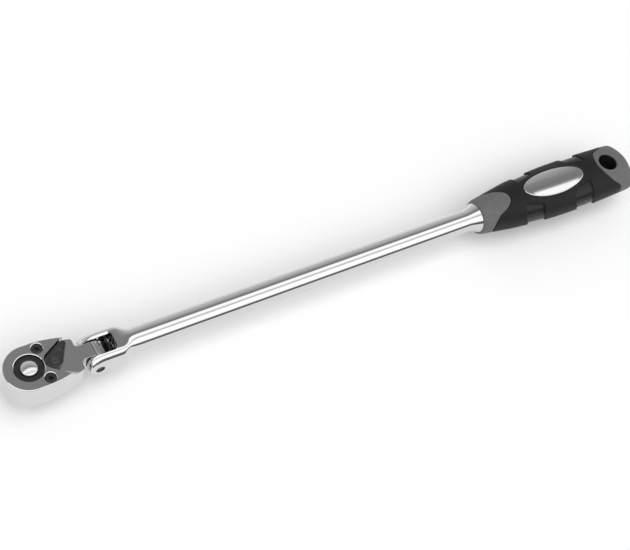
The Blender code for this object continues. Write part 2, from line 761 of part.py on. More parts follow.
def make_badge_plate(handle):
    """Plain oval plate in the sleeve's top."""
    add_piece("badge_plate", badge_disc(BADGE_LOW, BADGE_PROUD, 0.0), "badge", handle)


def main():
    """Build every piece under its joint's empty."""
    clear_scene()
    wrench = frame_empty("wrench", (0.0, 0.0, 0.0))
    wrench.location.z = -SQUARE_END * MM
    head = frame_empty("head_pivot", (PIN_X, 0.0, 0.0), wrench)
    drive = frame_empty("drive_axis", (0.0, 0.0, 0.0), head)
    button = frame_empty("button_axis", (0.0, 0.0, BUTTON_EDGE), drive)
    ball = frame_empty("ball_axis", (-(SQUARE / 2 + BALL_PROUD - BALL), 0.0, BALL_HEIGHT), drive)
    lever = frame_empty("lever_axis", (LEVER_X, 0.0, 0.0), head)
    pawl = frame_empty("pawl_axis", (LEVER_X, 0.0, 0.0), head)
    plunger = frame_empty("plunger_axis", (PLUNGER_BACK, 0.0, 0.0), wrench)
    make_head_housing(head)
    make_cover_plate(head)
    make_cover_screws(head)
    make_drive_anvil(drive)
    make_anvil_cap(drive)
    make_release_button(button)
    make_release_spring(drive)
    make_lock_ball(ball)
    make_pawl(pawl)
    make_reversing_lever(lever)
    make_lever_clip(lever)
    make_detent(lever)
    make_handle_shank(wrench)
    make_flex_pin(wrench)
    make_index_plunger(plunger)
    make_index_spring(wrench)
    make_grip_core(wrench)
    make_grip_overmould(wrench)
    make_badge_plate(wrench)


main()
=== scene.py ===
"""Finished look of the flex-head ratchet wrench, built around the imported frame."""

import json
import logging
import math
from dataclasses import dataclass
from enum import Enum
from typing import Callable, Iterable, Sequence

import bmesh
import bpy
from mathutils import Matrix, Vector


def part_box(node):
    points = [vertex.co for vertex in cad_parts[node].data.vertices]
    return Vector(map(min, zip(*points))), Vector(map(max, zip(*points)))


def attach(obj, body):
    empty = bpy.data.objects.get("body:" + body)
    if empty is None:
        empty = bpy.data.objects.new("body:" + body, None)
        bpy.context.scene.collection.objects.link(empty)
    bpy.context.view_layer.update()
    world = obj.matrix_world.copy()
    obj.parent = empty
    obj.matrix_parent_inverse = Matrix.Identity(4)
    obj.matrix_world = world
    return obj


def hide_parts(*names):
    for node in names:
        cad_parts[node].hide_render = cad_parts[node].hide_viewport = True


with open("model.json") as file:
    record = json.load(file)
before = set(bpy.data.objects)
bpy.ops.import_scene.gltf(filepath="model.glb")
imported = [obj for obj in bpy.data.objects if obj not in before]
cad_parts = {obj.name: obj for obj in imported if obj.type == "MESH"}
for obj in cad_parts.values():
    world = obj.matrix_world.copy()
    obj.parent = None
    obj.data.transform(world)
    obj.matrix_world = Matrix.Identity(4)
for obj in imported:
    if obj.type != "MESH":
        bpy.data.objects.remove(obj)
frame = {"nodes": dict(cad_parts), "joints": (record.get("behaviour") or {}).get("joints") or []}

LOG = logging.getLogger("wrench")
MM = 0.001

Point = tuple[float, float]
Mesh = bmesh.types.BMesh


class Side(Enum):
    """Which rims of a slab are rounded."""

    TOP = 1
    BOTTOM = 2
    BOTH = 3


class Join(Enum):
    """How one solid acts on another."""

    CUT = "DIFFERENCE"
    ADD = "UNION"


# ---------------------------------------------------------------- finishes


class Finish:
    """A procedural surface; every piece gets a material of its own from it."""

    def shader(self, name: str) -> tuple[bpy.types.Material, bpy.types.ShaderNode]:
        """Start a node material.

        Args:
            name: the piece that wears it.

        Returns:
            The material and its Principled shader.
        """
        material = bpy.data.materials.new(f"{name}_finish")
        material.use_nodes = True
        return material, material.node_tree.nodes["Principled BSDF"]

    def noise(self, material: bpy.types.Material, scale: float, detail: float = 4.0,
              stretch: tuple[float, float, float] = (1.0, 1.0, 1.0)) -> bpy.types.NodeSocket:
        """Noise on object coordinates.

        Args:
            material: the material it goes in.
            scale: noise scale, per metre.
            detail: octaves.
            stretch: scaling of the three directions.

        Returns:
            The noise value's socket.
        """
        nodes, links = material.node_tree.nodes, material.node_tree.links
        coordinates = nodes.new("ShaderNodeTexCoord")
        mapping = nodes.new("ShaderNodeMapping")
        mapping.inputs["Scale"].default_value = stretch
        texture = nodes.new("ShaderNodeTexNoise")
        texture.inputs["Scale"].default_value = scale
        texture.inputs["Detail"].default_value = detail
        links.new(coordinates.outputs["Object"], mapping.inputs["Vector"])
        links.new(mapping.outputs["Vector"], texture.inputs["Vector"])
        return texture.outputs["Fac"]

    def ramp(self, material: bpy.types.Material, value: bpy.types.NodeSocket,
             low: Sequence[float], high: Sequence[float], target: bpy.types.NodeSocket,
             span: tuple[float, float] = (0.3, 0.7)) -> None:
        """Drive a colour socket between two colours.

        Args:
            material: the material it goes in.
            value: the driving value.
            low: colour at the low end.
            high: colour at the high end.
            target: the socket it drives.
            span: the values where the ramp starts and ends.
        """
        ramp = material.node_tree.nodes.new("ShaderNodeValToRGB")
        ramp.color_ramp.elements[0].position, ramp.color_ramp.elements[1].position = span
        ramp.color_ramp.elements[0].color = (*low, 1.0)
        ramp.color_ramp.elements[1].color = (*high, 1.0)
        material.node_tree.links.new(value, ramp.inputs["Fac"])
        material.node_tree.links.new(ramp.outputs["Color"], target)

    def spread(self, material: bpy.types.Material, value: bpy.types.NodeSocket, low: float,
               high: float, target: bpy.types.NodeSocket) -> None:
        """Drive a number socket between two numbers, as the value goes from 0.3 to 0.7."""
        span = material.node_tree.nodes.new("ShaderNodeMapRange")
        span.inputs["From Min"].default_value = 0.3
        span.inputs["From Max"].default_value = 0.7
        span.inputs["To Min"].default_value = low
        span.inputs["To Max"].default_value = high
        material.node_tree.links.new(value, span.inputs["Value"])
        material.node_tree.links.new(span.outputs["Result"], target)

    def bump(self, material: bpy.types.Material, value: bpy.types.NodeSocket,
             shader: bpy.types.ShaderNode, depth: float, strength: float) -> None:
        """Let a value raise the surface by up to depth metres."""
        bump = material.node_tree.nodes.new("ShaderNodeBump")
        bump.inputs["Distance"].default_value = depth
        bump.inputs["Strength"].default_value = strength
        material.node_tree.links.new(value, bump.inputs["Height"])
        material.node_tree.links.new(bump.outputs["Normal"], shader.inputs["Normal"])

    def make(self, name: str) -> bpy.types.Material:
        """Build the material."""
        raise NotImplementedError


@dataclass(frozen=True)
class Chrome(Finish):
    """Polished or satin plating with faint variations in its gloss."""

    tint: tuple[float, float, float] = (0.67, 0.67, 0.675)
    gloss: tuple[float, float] = (0.035, 0.06)
    ripple: float = 0.02

    def make(self, name: str) -> bpy.types.Material:
        """Build the plated metal's material."""
        material, shader = self.shader(name)
        shader.inputs["Metallic"].default_value = 1.0
        cloud = self.noise(material, 90.0)
        dim = tuple(channel * 0.97 for channel in self.tint)
        self.ramp(material, cloud, dim, self.tint, shader.inputs["Base Color"])
        self.spread(material, cloud, *self.gloss, shader.inputs["Roughness"])
        self.bump(material, self.noise(material, 160.0, 2.0), shader, 0.0001, self.ripple)
        return material


@dataclass(frozen=True)
class Oxide(Finish):
    """Blackened or painted steel: dark, with a satin sheen and a fine tooth."""

    dark: tuple[float, float, float] = (0.010, 0.010, 0.011)
    light: tuple[float, float, float] = (0.018, 0.018, 0.019)
    gloss: tuple[float, float] = (0.30, 0.45)
    metallic: float = 0.0
    tooth: float = 0.25

    def make(self, name: str) -> bpy.types.Material:
        """Build the dark steel's material."""
        material, shader = self.shader(name)
        shader.inputs["Metallic"].default_value = self.metallic
        cloud = self.noise(material, 420.0)
        self.ramp(material, cloud, self.dark, self.light, shader.inputs["Base Color"])
        self.spread(material, cloud, *self.gloss, shader.inputs["Roughness"])
        self.bump(material, self.noise(material, 2600.0, 3.0), shader, 0.00004, self.tooth)
        return material


@dataclass(frozen=True)
class Moulded(Finish):
    """Moulded plastic or rubber with a fine sparked texture."""

    dark: tuple[float, float, float] = (0.14, 0.14, 0.143)
    light: tuple[float, float, float] = (0.17, 0.17, 0.173)
    gloss: tuple[float, float] = (0.5, 0.62)
    grain: float = 2200.0
    depth: float = 0.00006
    strength: float = 0.35
    shine: float = 0.5

    def make(self, name: str) -> bpy.types.Material:
        """Build the moulded surface's material."""
        material, shader = self.shader(name)
        shader.inputs["Specular IOR Level"].default_value = self.shine
        cloud = self.noise(material, 260.0)
        self.ramp(material, cloud, self.dark, self.light, shader.inputs["Base Color"])
        self.spread(material, cloud, *self.gloss, shader.inputs["Roughness"])
        self.bump(material, self.noise(material, self.grain, 2.0), shader, self.depth, self.strength)
        return material


@dataclass(frozen=True)
class Brushed(Finish):
    """Plate brushed along its length."""

    tint: tuple[float, float, float] = (0.68, 0.68, 0.685)
    gloss: tuple[float, float] = (0.07, 0.15)

    def make(self, name: str) -> bpy.types.Material:
        """Build the brushed plate's material."""
        material, shader = self.shader(name)
        shader.inputs["Metallic"].default_value = 1.0
        lines = self.noise(material, 900.0, 3.0, (0.03, 1.0, 1.0))
        dim = tuple(channel * 0.88 for channel in self.tint)
        self.ramp(material, lines, dim, self.tint, shader.inputs["Base Color"])
        self.spread(material, lines, *self.gloss, shader.inputs["Roughness"])
        self.bump(material, lines, shader, 0.00003, 0.15)
        return material


HEAD_CHROME = Chrome()
SHANK_CHROME = Chrome(gloss=(0.03, 0.05), ripple=0.015)
BUTTON_CHROME = Chrome(gloss=(0.2, 0.27), ripple=0.03)
DRIVE_STEEL = Chrome(tint=(0.52, 0.52, 0.53), gloss=(0.16, 0.26), ripple=0.05)
SPRING_STEEL = Chrome(tint=(0.30, 0.30, 0.31), gloss=(0.28, 0.38), ripple=0.04)
DISC_BLACK = Oxide(dark=(0.005, 0.005, 0.0055), light=(0.009, 0.009, 0.0095), gloss=(0.36, 0.48))
SCREW_BLACK = Oxide(dark=(0.012, 0.012, 0.013), light=(0.024, 0.024, 0.025), gloss=(0.24, 0.36))
PLUNGER_BLACK = Oxide(dark=(0.004, 0.004, 0.004), light=(0.008, 0.008, 0.008), gloss=(0.22, 0.34))
LEVER_GREY = Oxide(dark=(0.026, 0.026, 0.027), light=(0.040, 0.040, 0.041), gloss=(0.24, 0.34), tooth=0.4)
GRIP_GREY = Moulded(dark=(0.105, 0.105, 0.107), light=(0.128, 0.128, 0.13), shine=0.3)
GRIP_BLACK = Moulded(
    dark=(0.0045, 0.0045, 0.005), light=(0.0085, 0.0085, 0.009), gloss=(0.5, 0.62), grain=1500.0,
    depth=0.0001, strength=0.5, shine=0.25,
)
PANEL_BLACK = Moulded(
    dark=(0.004, 0.004, 0.0045), light=(0.007, 0.007, 0.0075), gloss=(0.27, 0.36), grain=900.0,
    depth=0.00004, strength=0.2, shine=0.3,
)
BADGE_METAL = Brushed()


# ---------------------------------------------------------------- shaping


def arc(centre: Point, radius: float, start: float, end: float, steps: int) -> list[Point]:
    """Points along an arc.

    Args:
        centre: the arc's centre.
        radius: its radius.
        start: first angle, in degrees.
        end: last angle, in degrees.
        steps: how many spans it is divided into.

    Returns:
        steps + 1 points.
    """
    angles = [math.radians(start + (end - start) * i / steps) for i in range(steps + 1)]
    return [(centre[0] + radius * math.cos(a), centre[1] + radius * math.sin(a)) for a in angles]


def rounded(points: Sequence[Point], radii: Sequence[float], steps: int = 4) -> list[Point]:
    """Round the inner corners of an open run of points.

    Args:
        points: the run's corners.
        radii: how far each corner's rounding reaches along its sides; ends are kept sharp.
        steps: spans of each rounding.

    Returns:
        The run with its corners rounded.
    """
    run = [points[0]]
    for before, corner, after, reach in zip(points, points[1:], points[2:], radii[1:]):
        here = Vector(corner)
        start = here + (Vector(before) - here).normalized() * reach
        end = here + (Vector(after) - here).normalized() * reach
        for i in range(steps + 1):
            t = i / steps
            spot = start * (1 - t) ** 2 + here * 2 * t * (1 - t) + end * t * t
            run.append((spot.x, spot.y))
    run.append(points[-1])
    return run


def mirrored(half: Sequence[Point]) -> list[Point]:
    """Close a half outline by mirroring it across the long axis."""
    return list(half) + [(x, -y) for x, y in reversed(half) if abs(y) > 1e-6]


def blend(value: float, low: float, high: float) -> float:
    """Smooth step from 0 at low to 1 at high."""
    t = min(1.0, max(0.0, (value - low) / (high - low)))
    return t * t * (3 - 2 * t)


def rim_edges(bm: Mesh, height: float) -> list[bmesh.types.BMEdge]:
    """Edges that lie flat at a height."""
    return [e for e in bm.edges if all(abs(v.co.z - height) < 1e-4 for v in e.verts)]


def slab(outline: Sequence[Point], low: float, high: float, rim: float = 0.0,
         side: Side = Side.BOTH, segments: int = 3) -> Mesh:
    """Raise a flat outline into a slab with rounded rims.

    Args:
        outline: points in plan.
        low: height of the underside.
        high: height of the top.
        rim: radius of the rims, 0 for none.
        side: which rims are rounded.
        segments: spans of the rounding.

    Returns:
        A closed mesh.
    """
    bm = bmesh.new()
    face = bm.faces.new([bm.verts.new((x, y, low)) for x, y in outline])
    raised = bmesh.ops.extrude_face_region(bm, geom=[face])
    lifted = [v for v in raised["geom"] if isinstance(v, bmesh.types.BMVert)]
    bmesh.ops.translate(bm, verts=lifted, vec=(0, 0, high - low))
    bmesh.ops.recalc_face_normals(bm, faces=bm.faces)
    edges = []
    if side in (Side.TOP, Side.BOTH):
        edges += rim_edges(bm, high)
    if side in (Side.BOTTOM, Side.BOTH):
        edges += rim_edges(bm, low)
    if rim and edges:
        bmesh.ops.bevel(
            bm, geom=edges, offset=rim, segments=segments, profile=0.5, affect="EDGES", material=-1,
        )
    return bm


def turned(profile: Sequence[Point], steps: int = 64, centre: Point = (0.0, 0.0)) -> Mesh:
    """Spin a profile of (radius, height) points about an upright axis.

    Args:
        profile: the profile, from low to high on the outside.
        steps: spans round the axis.
        centre: where the axis stands in plan.

    Returns:
        A closed mesh.
    """
    bm = bmesh.new()
    points = [bm.verts.new((centre[0] + radius, centre[1], height)) for radius, height in profile]
    edges = [bm.edges.new(pair) for pair in zip(points, points[1:])]
    if profile[0][0] > 0 and profile[-1][0] > 0:
        edges.append(bm.edges.new((points[-1], points[0])))
    bmesh.ops.spin(
        bm, geom=points + edges, cent=(*centre, 0), axis=(0, 0, 1), angle=math.tau, steps=steps,
        use_merge=True,
    )
    bmesh.ops.remove_doubles(bm, verts=bm.verts, dist=1e-4)
    bmesh.ops.recalc_face_normals(bm, faces=bm.faces)
    return bm


def drum(radius: float, low: float, high: float, steps: int = 48, centre: Point = (0.0, 0.0)) -> Mesh:
    """A plain upright cylinder."""
    return turned([(0, low), (radius, low), (radius, high), (0, high)], steps, centre)


def skin(rings: Sequence[Sequence[Vector]], capped: bool = True) -> Mesh:
    """Extrude a closed ring of points from one ring's places to the next one's.

    Args:
        rings: rings with equally many points, in matching order.
        capped: whether the first and last ring are closed with a face; if not, the last ring joins the first.

    Returns:
        A closed mesh.
    """
    bm = bmesh.new()
    start = [bm.verts.new(point) for point in rings[0]]
    first = [bm.edges.new((start[i - 1], start[i])) for i in range(len(start))]
    loop = start
    edges = first
    for ring in list(rings[1:]) + ([] if capped else [rings[0]]):
        grown = bmesh.ops.extrude_edge_only(bm, edges=edges)["geom"]
        fresh = {part for part in grown if isinstance(part, bmesh.types.BMVert)}
        loop = [next(e.other_vert(v) for e in v.link_edges if e.other_vert(v) in fresh) for v in loop]
        for vert, point in zip(loop, ring):
            vert.co = point
        edges = [e for e in grown if isinstance(e, bmesh.types.BMEdge) and all(v in fresh for v in e.verts)]
    if capped:
        for row in (first, edges):
            bmesh.ops.holes_fill(bm, edges=row)
    else:
        bmesh.ops.weld_verts(bm, targetmap=dict(zip(loop, start)))
    bmesh.ops.recalc_face_normals(bm, faces=bm.faces)
    return bm


def turn(bm: Mesh, axis: str, angle: float, centre: Sequence[float] = (0, 0, 0)) -> Mesh:
    """Turn a mesh by an angle in degrees about an axis through a centre."""
    matrix = Matrix.Rotation(math.radians(angle), 3, axis)
    bmesh.ops.rotate(bm, verts=bm.verts, cent=centre, matrix=matrix)
    return bm


def shift(bm: Mesh, place: Sequence[float]) -> Mesh:
    """Carry a mesh to a place."""
    bmesh.ops.translate(bm, verts=bm.verts, vec=place)
    return bm


def side_slab(outline: Sequence[Point], half_width: float, rim: float = 0.0) -> Mesh:
    """An outline of (x, z) points, extruded across the wrench."""
    return turn(slab(outline, -half_width, half_width, rim, Side.BOTH, 2), "X", 90)


def scratch(bm: Mesh, name: str) -> bpy.types.Object:
    """Put a mesh in a passing object, for one Boolean."""
    mesh = bpy.data.meshes.new(name)
    bm.to_mesh(mesh)
    bm.free()
    holder = bpy.data.objects.new(name, mesh)
    bpy.context.collection.objects.link(holder)
    return holder


def shape(solid: Mesh, steps: Iterable[tuple[Join, Mesh]]) -> Mesh:
    """Work a solid with others, in order.

    Args:
        solid: the mesh to work on; it is used up.
        steps: what to do with each of the other meshes, which are used up too.

    Returns:
        The finished mesh.
    """
    holders = [scratch(solid, "solid")]
    for kind, tool in steps:
        holders.append(scratch(tool, "tool"))
        modifier = holders[0].modifiers.new("work", "BOOLEAN")
        modifier.operation = kind.value
        modifier.solver = "EXACT"
        modifier.object = holders[-1]
    graph = bpy.context.evaluated_depsgraph_get()
    bm = bmesh.new()
    bm.from_mesh(holders[0].evaluated_get(graph).to_mesh())
    for holder in holders:
        mesh = holder.data
        bpy.data.objects.remove(holder, do_unlink=True)
        bpy.data.meshes.remove(mesh)
    bmesh.ops.remove_doubles(bm, verts=bm.verts, dist=5e-4)
    bmesh.ops.dissolve_degenerate(bm, dist=5e-4, edges=bm.edges)
    return bm


def coil(radius: float, wire: float, low: float, high: float, turns: int, steps: int = 28,
         sides: int = 10) -> Mesh:
    """A closed helical wire about an upright axis, between two heights."""
    rings = []
    total = turns * steps
    for i in range(total + 1):
        a = math.tau * i / steps
        height = low + wire + (high - low - 2 * wire) * i / total
        out = Vector((math.cos(a), math.sin(a), 0))
        ring = []
        for k in range(sides):
            b = math.tau * k / sides
            ring.append(out * (radius + wire * math.cos(b)) + Vector((0, 0, height + wire * math.sin(b))))
        rings.append(ring)
    return skin(rings)


@dataclass(frozen=True)
class Layout:
    """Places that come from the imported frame, in millimetres."""

    axis_height: float
    pin_x: float
    lever_x: float
    badge_x: float

    @staticmethod
    def read() -> "Layout":
        """Take the places from the frame's nodes.

        Returns:
            The layout.
        """
        def middle(node: str, way: int) -> float:
            """Middle of a node along one axis."""
            low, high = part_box(node)
            return (low[way] + high[way]) / 2 / MM

        swing = next(joint for joint in frame["joints"] if joint["name"] == "lever_swing")
        lever_x = swing["pos_m"][0] / MM
        return Layout(middle("flex_pin", 2), middle("flex_pin", 0), lever_x, middle("badge_plate", 0))


class Assembly:
    """A group of pieces that are made together."""

    def __init__(self, layout: Layout) -> None:
        """Keep the shared layout."""
        self.layout = layout

    def add(self, name: str, bm: Mesh, finish: Finish, body: str, slot: str, nodes: Sequence[str] = (),
            sharp: float = 32.0, weighted: bool = True) -> bpy.types.Object:
        """Turn a mesh in millimetres about the bar's axis into a piece that rides on a body.

        Args:
            name: the piece's name.
            bm: its mesh, which is used up.
            finish: its surface.
            body: the frame body that it moves with.
            slot: the record's material slot; not used.
            nodes: frame nodes that it stands for.
            sharp: edges bent by more than this many degrees stay crisp.
            weighted: whether large faces rule the shading beside small ones.

        Returns:
            The piece.
        """
        bmesh.ops.translate(bm, verts=bm.verts, vec=(0, 0, self.layout.axis_height))
        bmesh.ops.scale(bm, verts=bm.verts, vec=(MM, MM, MM))
        mesh = bpy.data.meshes.new(name)
        bm.to_mesh(mesh)
        bm.free()
        mesh.shade_smooth()
        mesh.set_sharp_from_angle(angle=math.radians(sharp))
        mesh.materials.append(finish.make(name))
        piece = bpy.data.objects.new(name, mesh)
        bpy.context.collection.objects.link(piece)
        if weighted:
            modifier = piece.modifiers.new("even_shading", "WEIGHTED_NORMAL")
            modifier.keep_sharp = True
            modifier.weight = 80
        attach(piece, body)
        if nodes:
            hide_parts(*nodes)
        LOG.info("%s: %d faces on %s", name, len(mesh.polygons), body)
        return piece

    def build(self) -> None:
        """Make every piece."""
        raise NotImplementedError


# ---------------------------------------------------------------- head


@dataclass
class HeadSizes:
    """Sizes of the head, in millimetres from the drive's axis and the bar's axis."""

    top: float = 10.5
    bottom: float = -7.8
    radius: float = 14.05
    shoulder: Point = (28.1, 9.8)
    fillet: float = 1.6
    tang_half: float = 4.5
    tang_top: float = 6.9
    rim: float = 0.7
    plate_rim: float = 1.5
    plate_end: float = 24.0
    plate_bottom_inner: float = -6.2
    screw: Point = (8.2, 9.6)
    bore: float = 8.3
    chamber: float = 9.7
    fan_radius: float = 5.3
    fan_angle: float = 30.0
    fan_turn: float = 22.3
    notch_step: float = 22.5
    notch_depth: float = 0.7
    pin_hole: float = 2.62


class Head(Assembly):
    """Chromed housing with its tang, the drive-side cover and its two screws."""

    sizes = HeadSizes()

    def side(self, inset: float = 0.0) -> list[Point]:
        """Half of the pear outline, from the nose to the shoulder, set in by an inset."""
        s = self.sizes
        radius = s.radius - inset
        start, bend, end = (6.0, radius), (15.2, radius), (s.shoulder[0], s.shoulder[1] - inset)
        run = arc((0, 0), radius, 180, 90, 36)
        for i in range(21):
            t = i / 20
            run.append(tuple(
                (1 - t) ** 2 * a + 2 * t * (1 - t) * b + t * t * c for a, b, c in zip(start, bend, end)
            ))
        return run

    def outline(self) -> list[Point]:
        """Pear outline with rounded shoulders and the fillets into the tang."""
        s = self.sizes
        x, y = s.shoulder
        corner = s.tang_half + s.fillet
        shoulder = rounded([self.side()[-2], (x, y), (x, corner)], (0, 1.1, 0), 6)[1:-1]
        fillet = arc((x + s.fillet, corner), s.fillet, 180, 270, 8)
        return mirrored(self.side()[:-1] + shoulder + fillet)

    def tang_outline(self) -> list[Point]:
        """Side view of the tang: root, and a drum about the flex pin with index notches."""
        s = self.sizes
        pin = self.layout.pin_x
        run = [(20.0, -s.tang_top), (pin - 2.0, -s.tang_top)]
        half = math.degrees(s.notch_depth / s.tang_top)
        for k in range(-4, 5):
            middle = k * s.notch_step
            rise = [(-half - 1.5, 0.0), (-half, 0.12), (-1.5, s.notch_depth)]
            marks = rise + [(-offset, depth) for offset, depth in reversed(rise)]
            if k < 4:
                marks += [(half + 1.5 + (s.notch_step - 2 * half - 3) * i / 4, 0.0) for i in (1, 2, 3)]
            for offset, depth in marks:
                a = math.radians(middle + offset)
                radius = s.tang_top - depth
                run.append((pin + radius * math.cos(a), radius * math.sin(a)))
        return run + [(20.0, s.tang_top)]

    def fan(self, grow: float, lean: float) -> list[Point]:
        """Outline of the lowered fan, grown and opened by a few degrees.

        Args:
            grow: how much wider its round end is.
            lean: degrees that its near side opens by; the far side turns straight back past the lever.

        Returns:
            A closed outline.
        """
        s = self.sizes
        centre, radius = (self.layout.lever_x, 0.0), s.fan_radius + grow
        a = math.radians(s.fan_angle + lean)
        near = arc(centre, radius, 180, 90 + s.fan_angle + lean, 16)
        turn_x, turn_y = near[-1]
        near += [(turn_x + reach * math.cos(a), turn_y + reach * math.sin(a)) for reach in (8, 16, 40)]
        far = arc(centre, radius, 90 + s.fan_angle, 180, 16)[:-1]
        start_x, start_y = far[0]
        slope = math.tan(math.radians(s.fan_angle))
        back = [(x, start_y + slope * (x - start_x)) for x in (19.0, s.fan_turn)]
        far = [(60.0, back[-1][1] + 0.9), (s.fan_turn + 1.6, back[-1][1] + 0.6)] + back[::-1] + far
        return far + [(x, -y) for x, y in near]

    def fan_cutter(self) -> Mesh:
        """Cutter for the fan: a level floor, a small cove and a leaning wall."""
        s = self.sizes
        levels = (
            (s.tang_top + 0.02, -0.45, -2.5), (s.tang_top + 0.15, -0.12, -0.5), (s.tang_top + 0.5, 0.03, 1.6),
            (s.tang_top + 1.3, 0.1, 4.6), (s.top - 0.5, 0.2, 8.6), (s.top - 0.06, 0.42, 10.8),
            (s.top + 2, 0.5, 12.0),
        )
        rings = []
        for height, grow, lean in levels:
            rings.append([Vector((x, y, height)) for x, y in self.fan(grow, lean)])
        return skin(rings)

    def housing(self) -> Mesh:
        """The forging: pear, tang, fan, bores and screw seats."""
        s = self.sizes
        lever = (self.layout.lever_x, 0.0)
        pocket = arc((0, 0), 6.0, -36, 36, 6) + arc((0, 0), 13.4, 36, -36, 20)
        plate = mirrored([p for p in self.side(s.plate_rim - 0.12) if p[0] < s.plate_end + 0.15])
        bore = [(0, 3.0), (s.bore, 3.0), (s.bore, s.top - 0.3), (s.bore + 1.3, s.top + 1), (0, s.top + 1)]
        steps = [
            (Join.ADD, side_slab(self.tang_outline(), s.tang_half, 0.25)),
            (Join.CUT, self.fan_cutter()),
            (Join.CUT, slab(plate, s.bottom - 1, s.plate_bottom_inner + 0.15)),
            (Join.CUT, turned(bore, 96)),
            (Join.CUT, drum(s.chamber, -7.0, 5.2, 64)),
            (Join.CUT, slab(pocket, -6.8, 4.9)),
            (Join.CUT, drum(2.62, 4.0, 8.0, 36, lever)),
            (Join.CUT, drum(4.0, -6.6, 5.1, 36, lever)),
        ]
        seat = [
            (0, s.bottom - 1), (1.9, s.bottom - 1), (1.9, 7.3), (3.2, 9.2), (3.2, 10.2),
            (4.2, s.top + 0.7), (0, s.top + 0.7),
        ]
        for way in (-1, 1):
            steps.append((Join.CUT, turned(seat, 48, (s.screw[0], way * s.screw[1]))))
        hole = shift(turn(drum(s.pin_hole, -6, 6, 36), "X", 90), (self.layout.pin_x, 0, 0))
        steps.append((Join.CUT, hole))
        return shape(slab(self.outline(), s.bottom, s.top, s.rim), steps)

    def plate(self) -> Mesh:
        """Drive-side cover with a rounded rim, the drive's hole and two screw holes."""
        s = self.sizes
        outline = mirrored([p for p in self.side(s.plate_rim) if p[0] < s.plate_end])
        hole = [
            (0, s.bottom - 1), (0, -5.5), (7.3, -5.5), (7.3, s.bottom + 0.3), (7.6, s.bottom),
            (7.6, s.bottom - 1),
        ]
        steps = [(Join.CUT, turned(hole, 72))]
        for way in (-1, 1):
            steps.append((Join.CUT, drum(1.85, s.bottom - 1, -5.5, 32, (s.screw[0], way * s.screw[1]))))
        return shape(slab(outline, s.bottom, s.plate_bottom_inner, 0.25, Side.BOTTOM), steps)

    def screw(self, way: int) -> Mesh:
        """Countersunk screw with a star socket and a slightly raised ring round it."""
        s = self.sizes
        place = (s.screw[0], way * s.screw[1])
        top = s.top - 0.55
        profile = [
            (0, s.bottom + 0.2), (1.3, s.bottom + 0.2), (1.6, s.bottom + 0.5), (1.6, 7.5), (3.0, 9.0),
            (3.05, top - 0.35), (2.85, top - 0.12), (2.45, top), (2.1, top - 0.03), (1.95, top - 0.22),
            (0, top - 0.25),
        ]
        star = []
        for i in range(72):
            a = math.tau * i / 72
            radius = 1.28 + 0.27 * math.cos(6 * a)
            star.append((place[0] + radius * math.cos(a), place[1] + radius * math.sin(a)))
        return shape(turned(profile, 48, place), [(Join.CUT, slab(star, top - 1.9, top + 1))])

    def build(self) -> None:
        """Make the housing, its cover and the screws."""
        self.add("head_shell", self.housing(), HEAD_CHROME, "head", "head_chrome", ["head_housing"])
        self.add("drive_side_cover", self.plate(), HEAD_CHROME, "head", "head_chrome", ["cover_plate"])
        for label, way in (("left", 1), ("right", -1)):
            node = f"cover_screw_{label}"
            self.add(f"screw_{label}", self.screw(way), SCREW_BLACK, "head", "black_steel", [node])


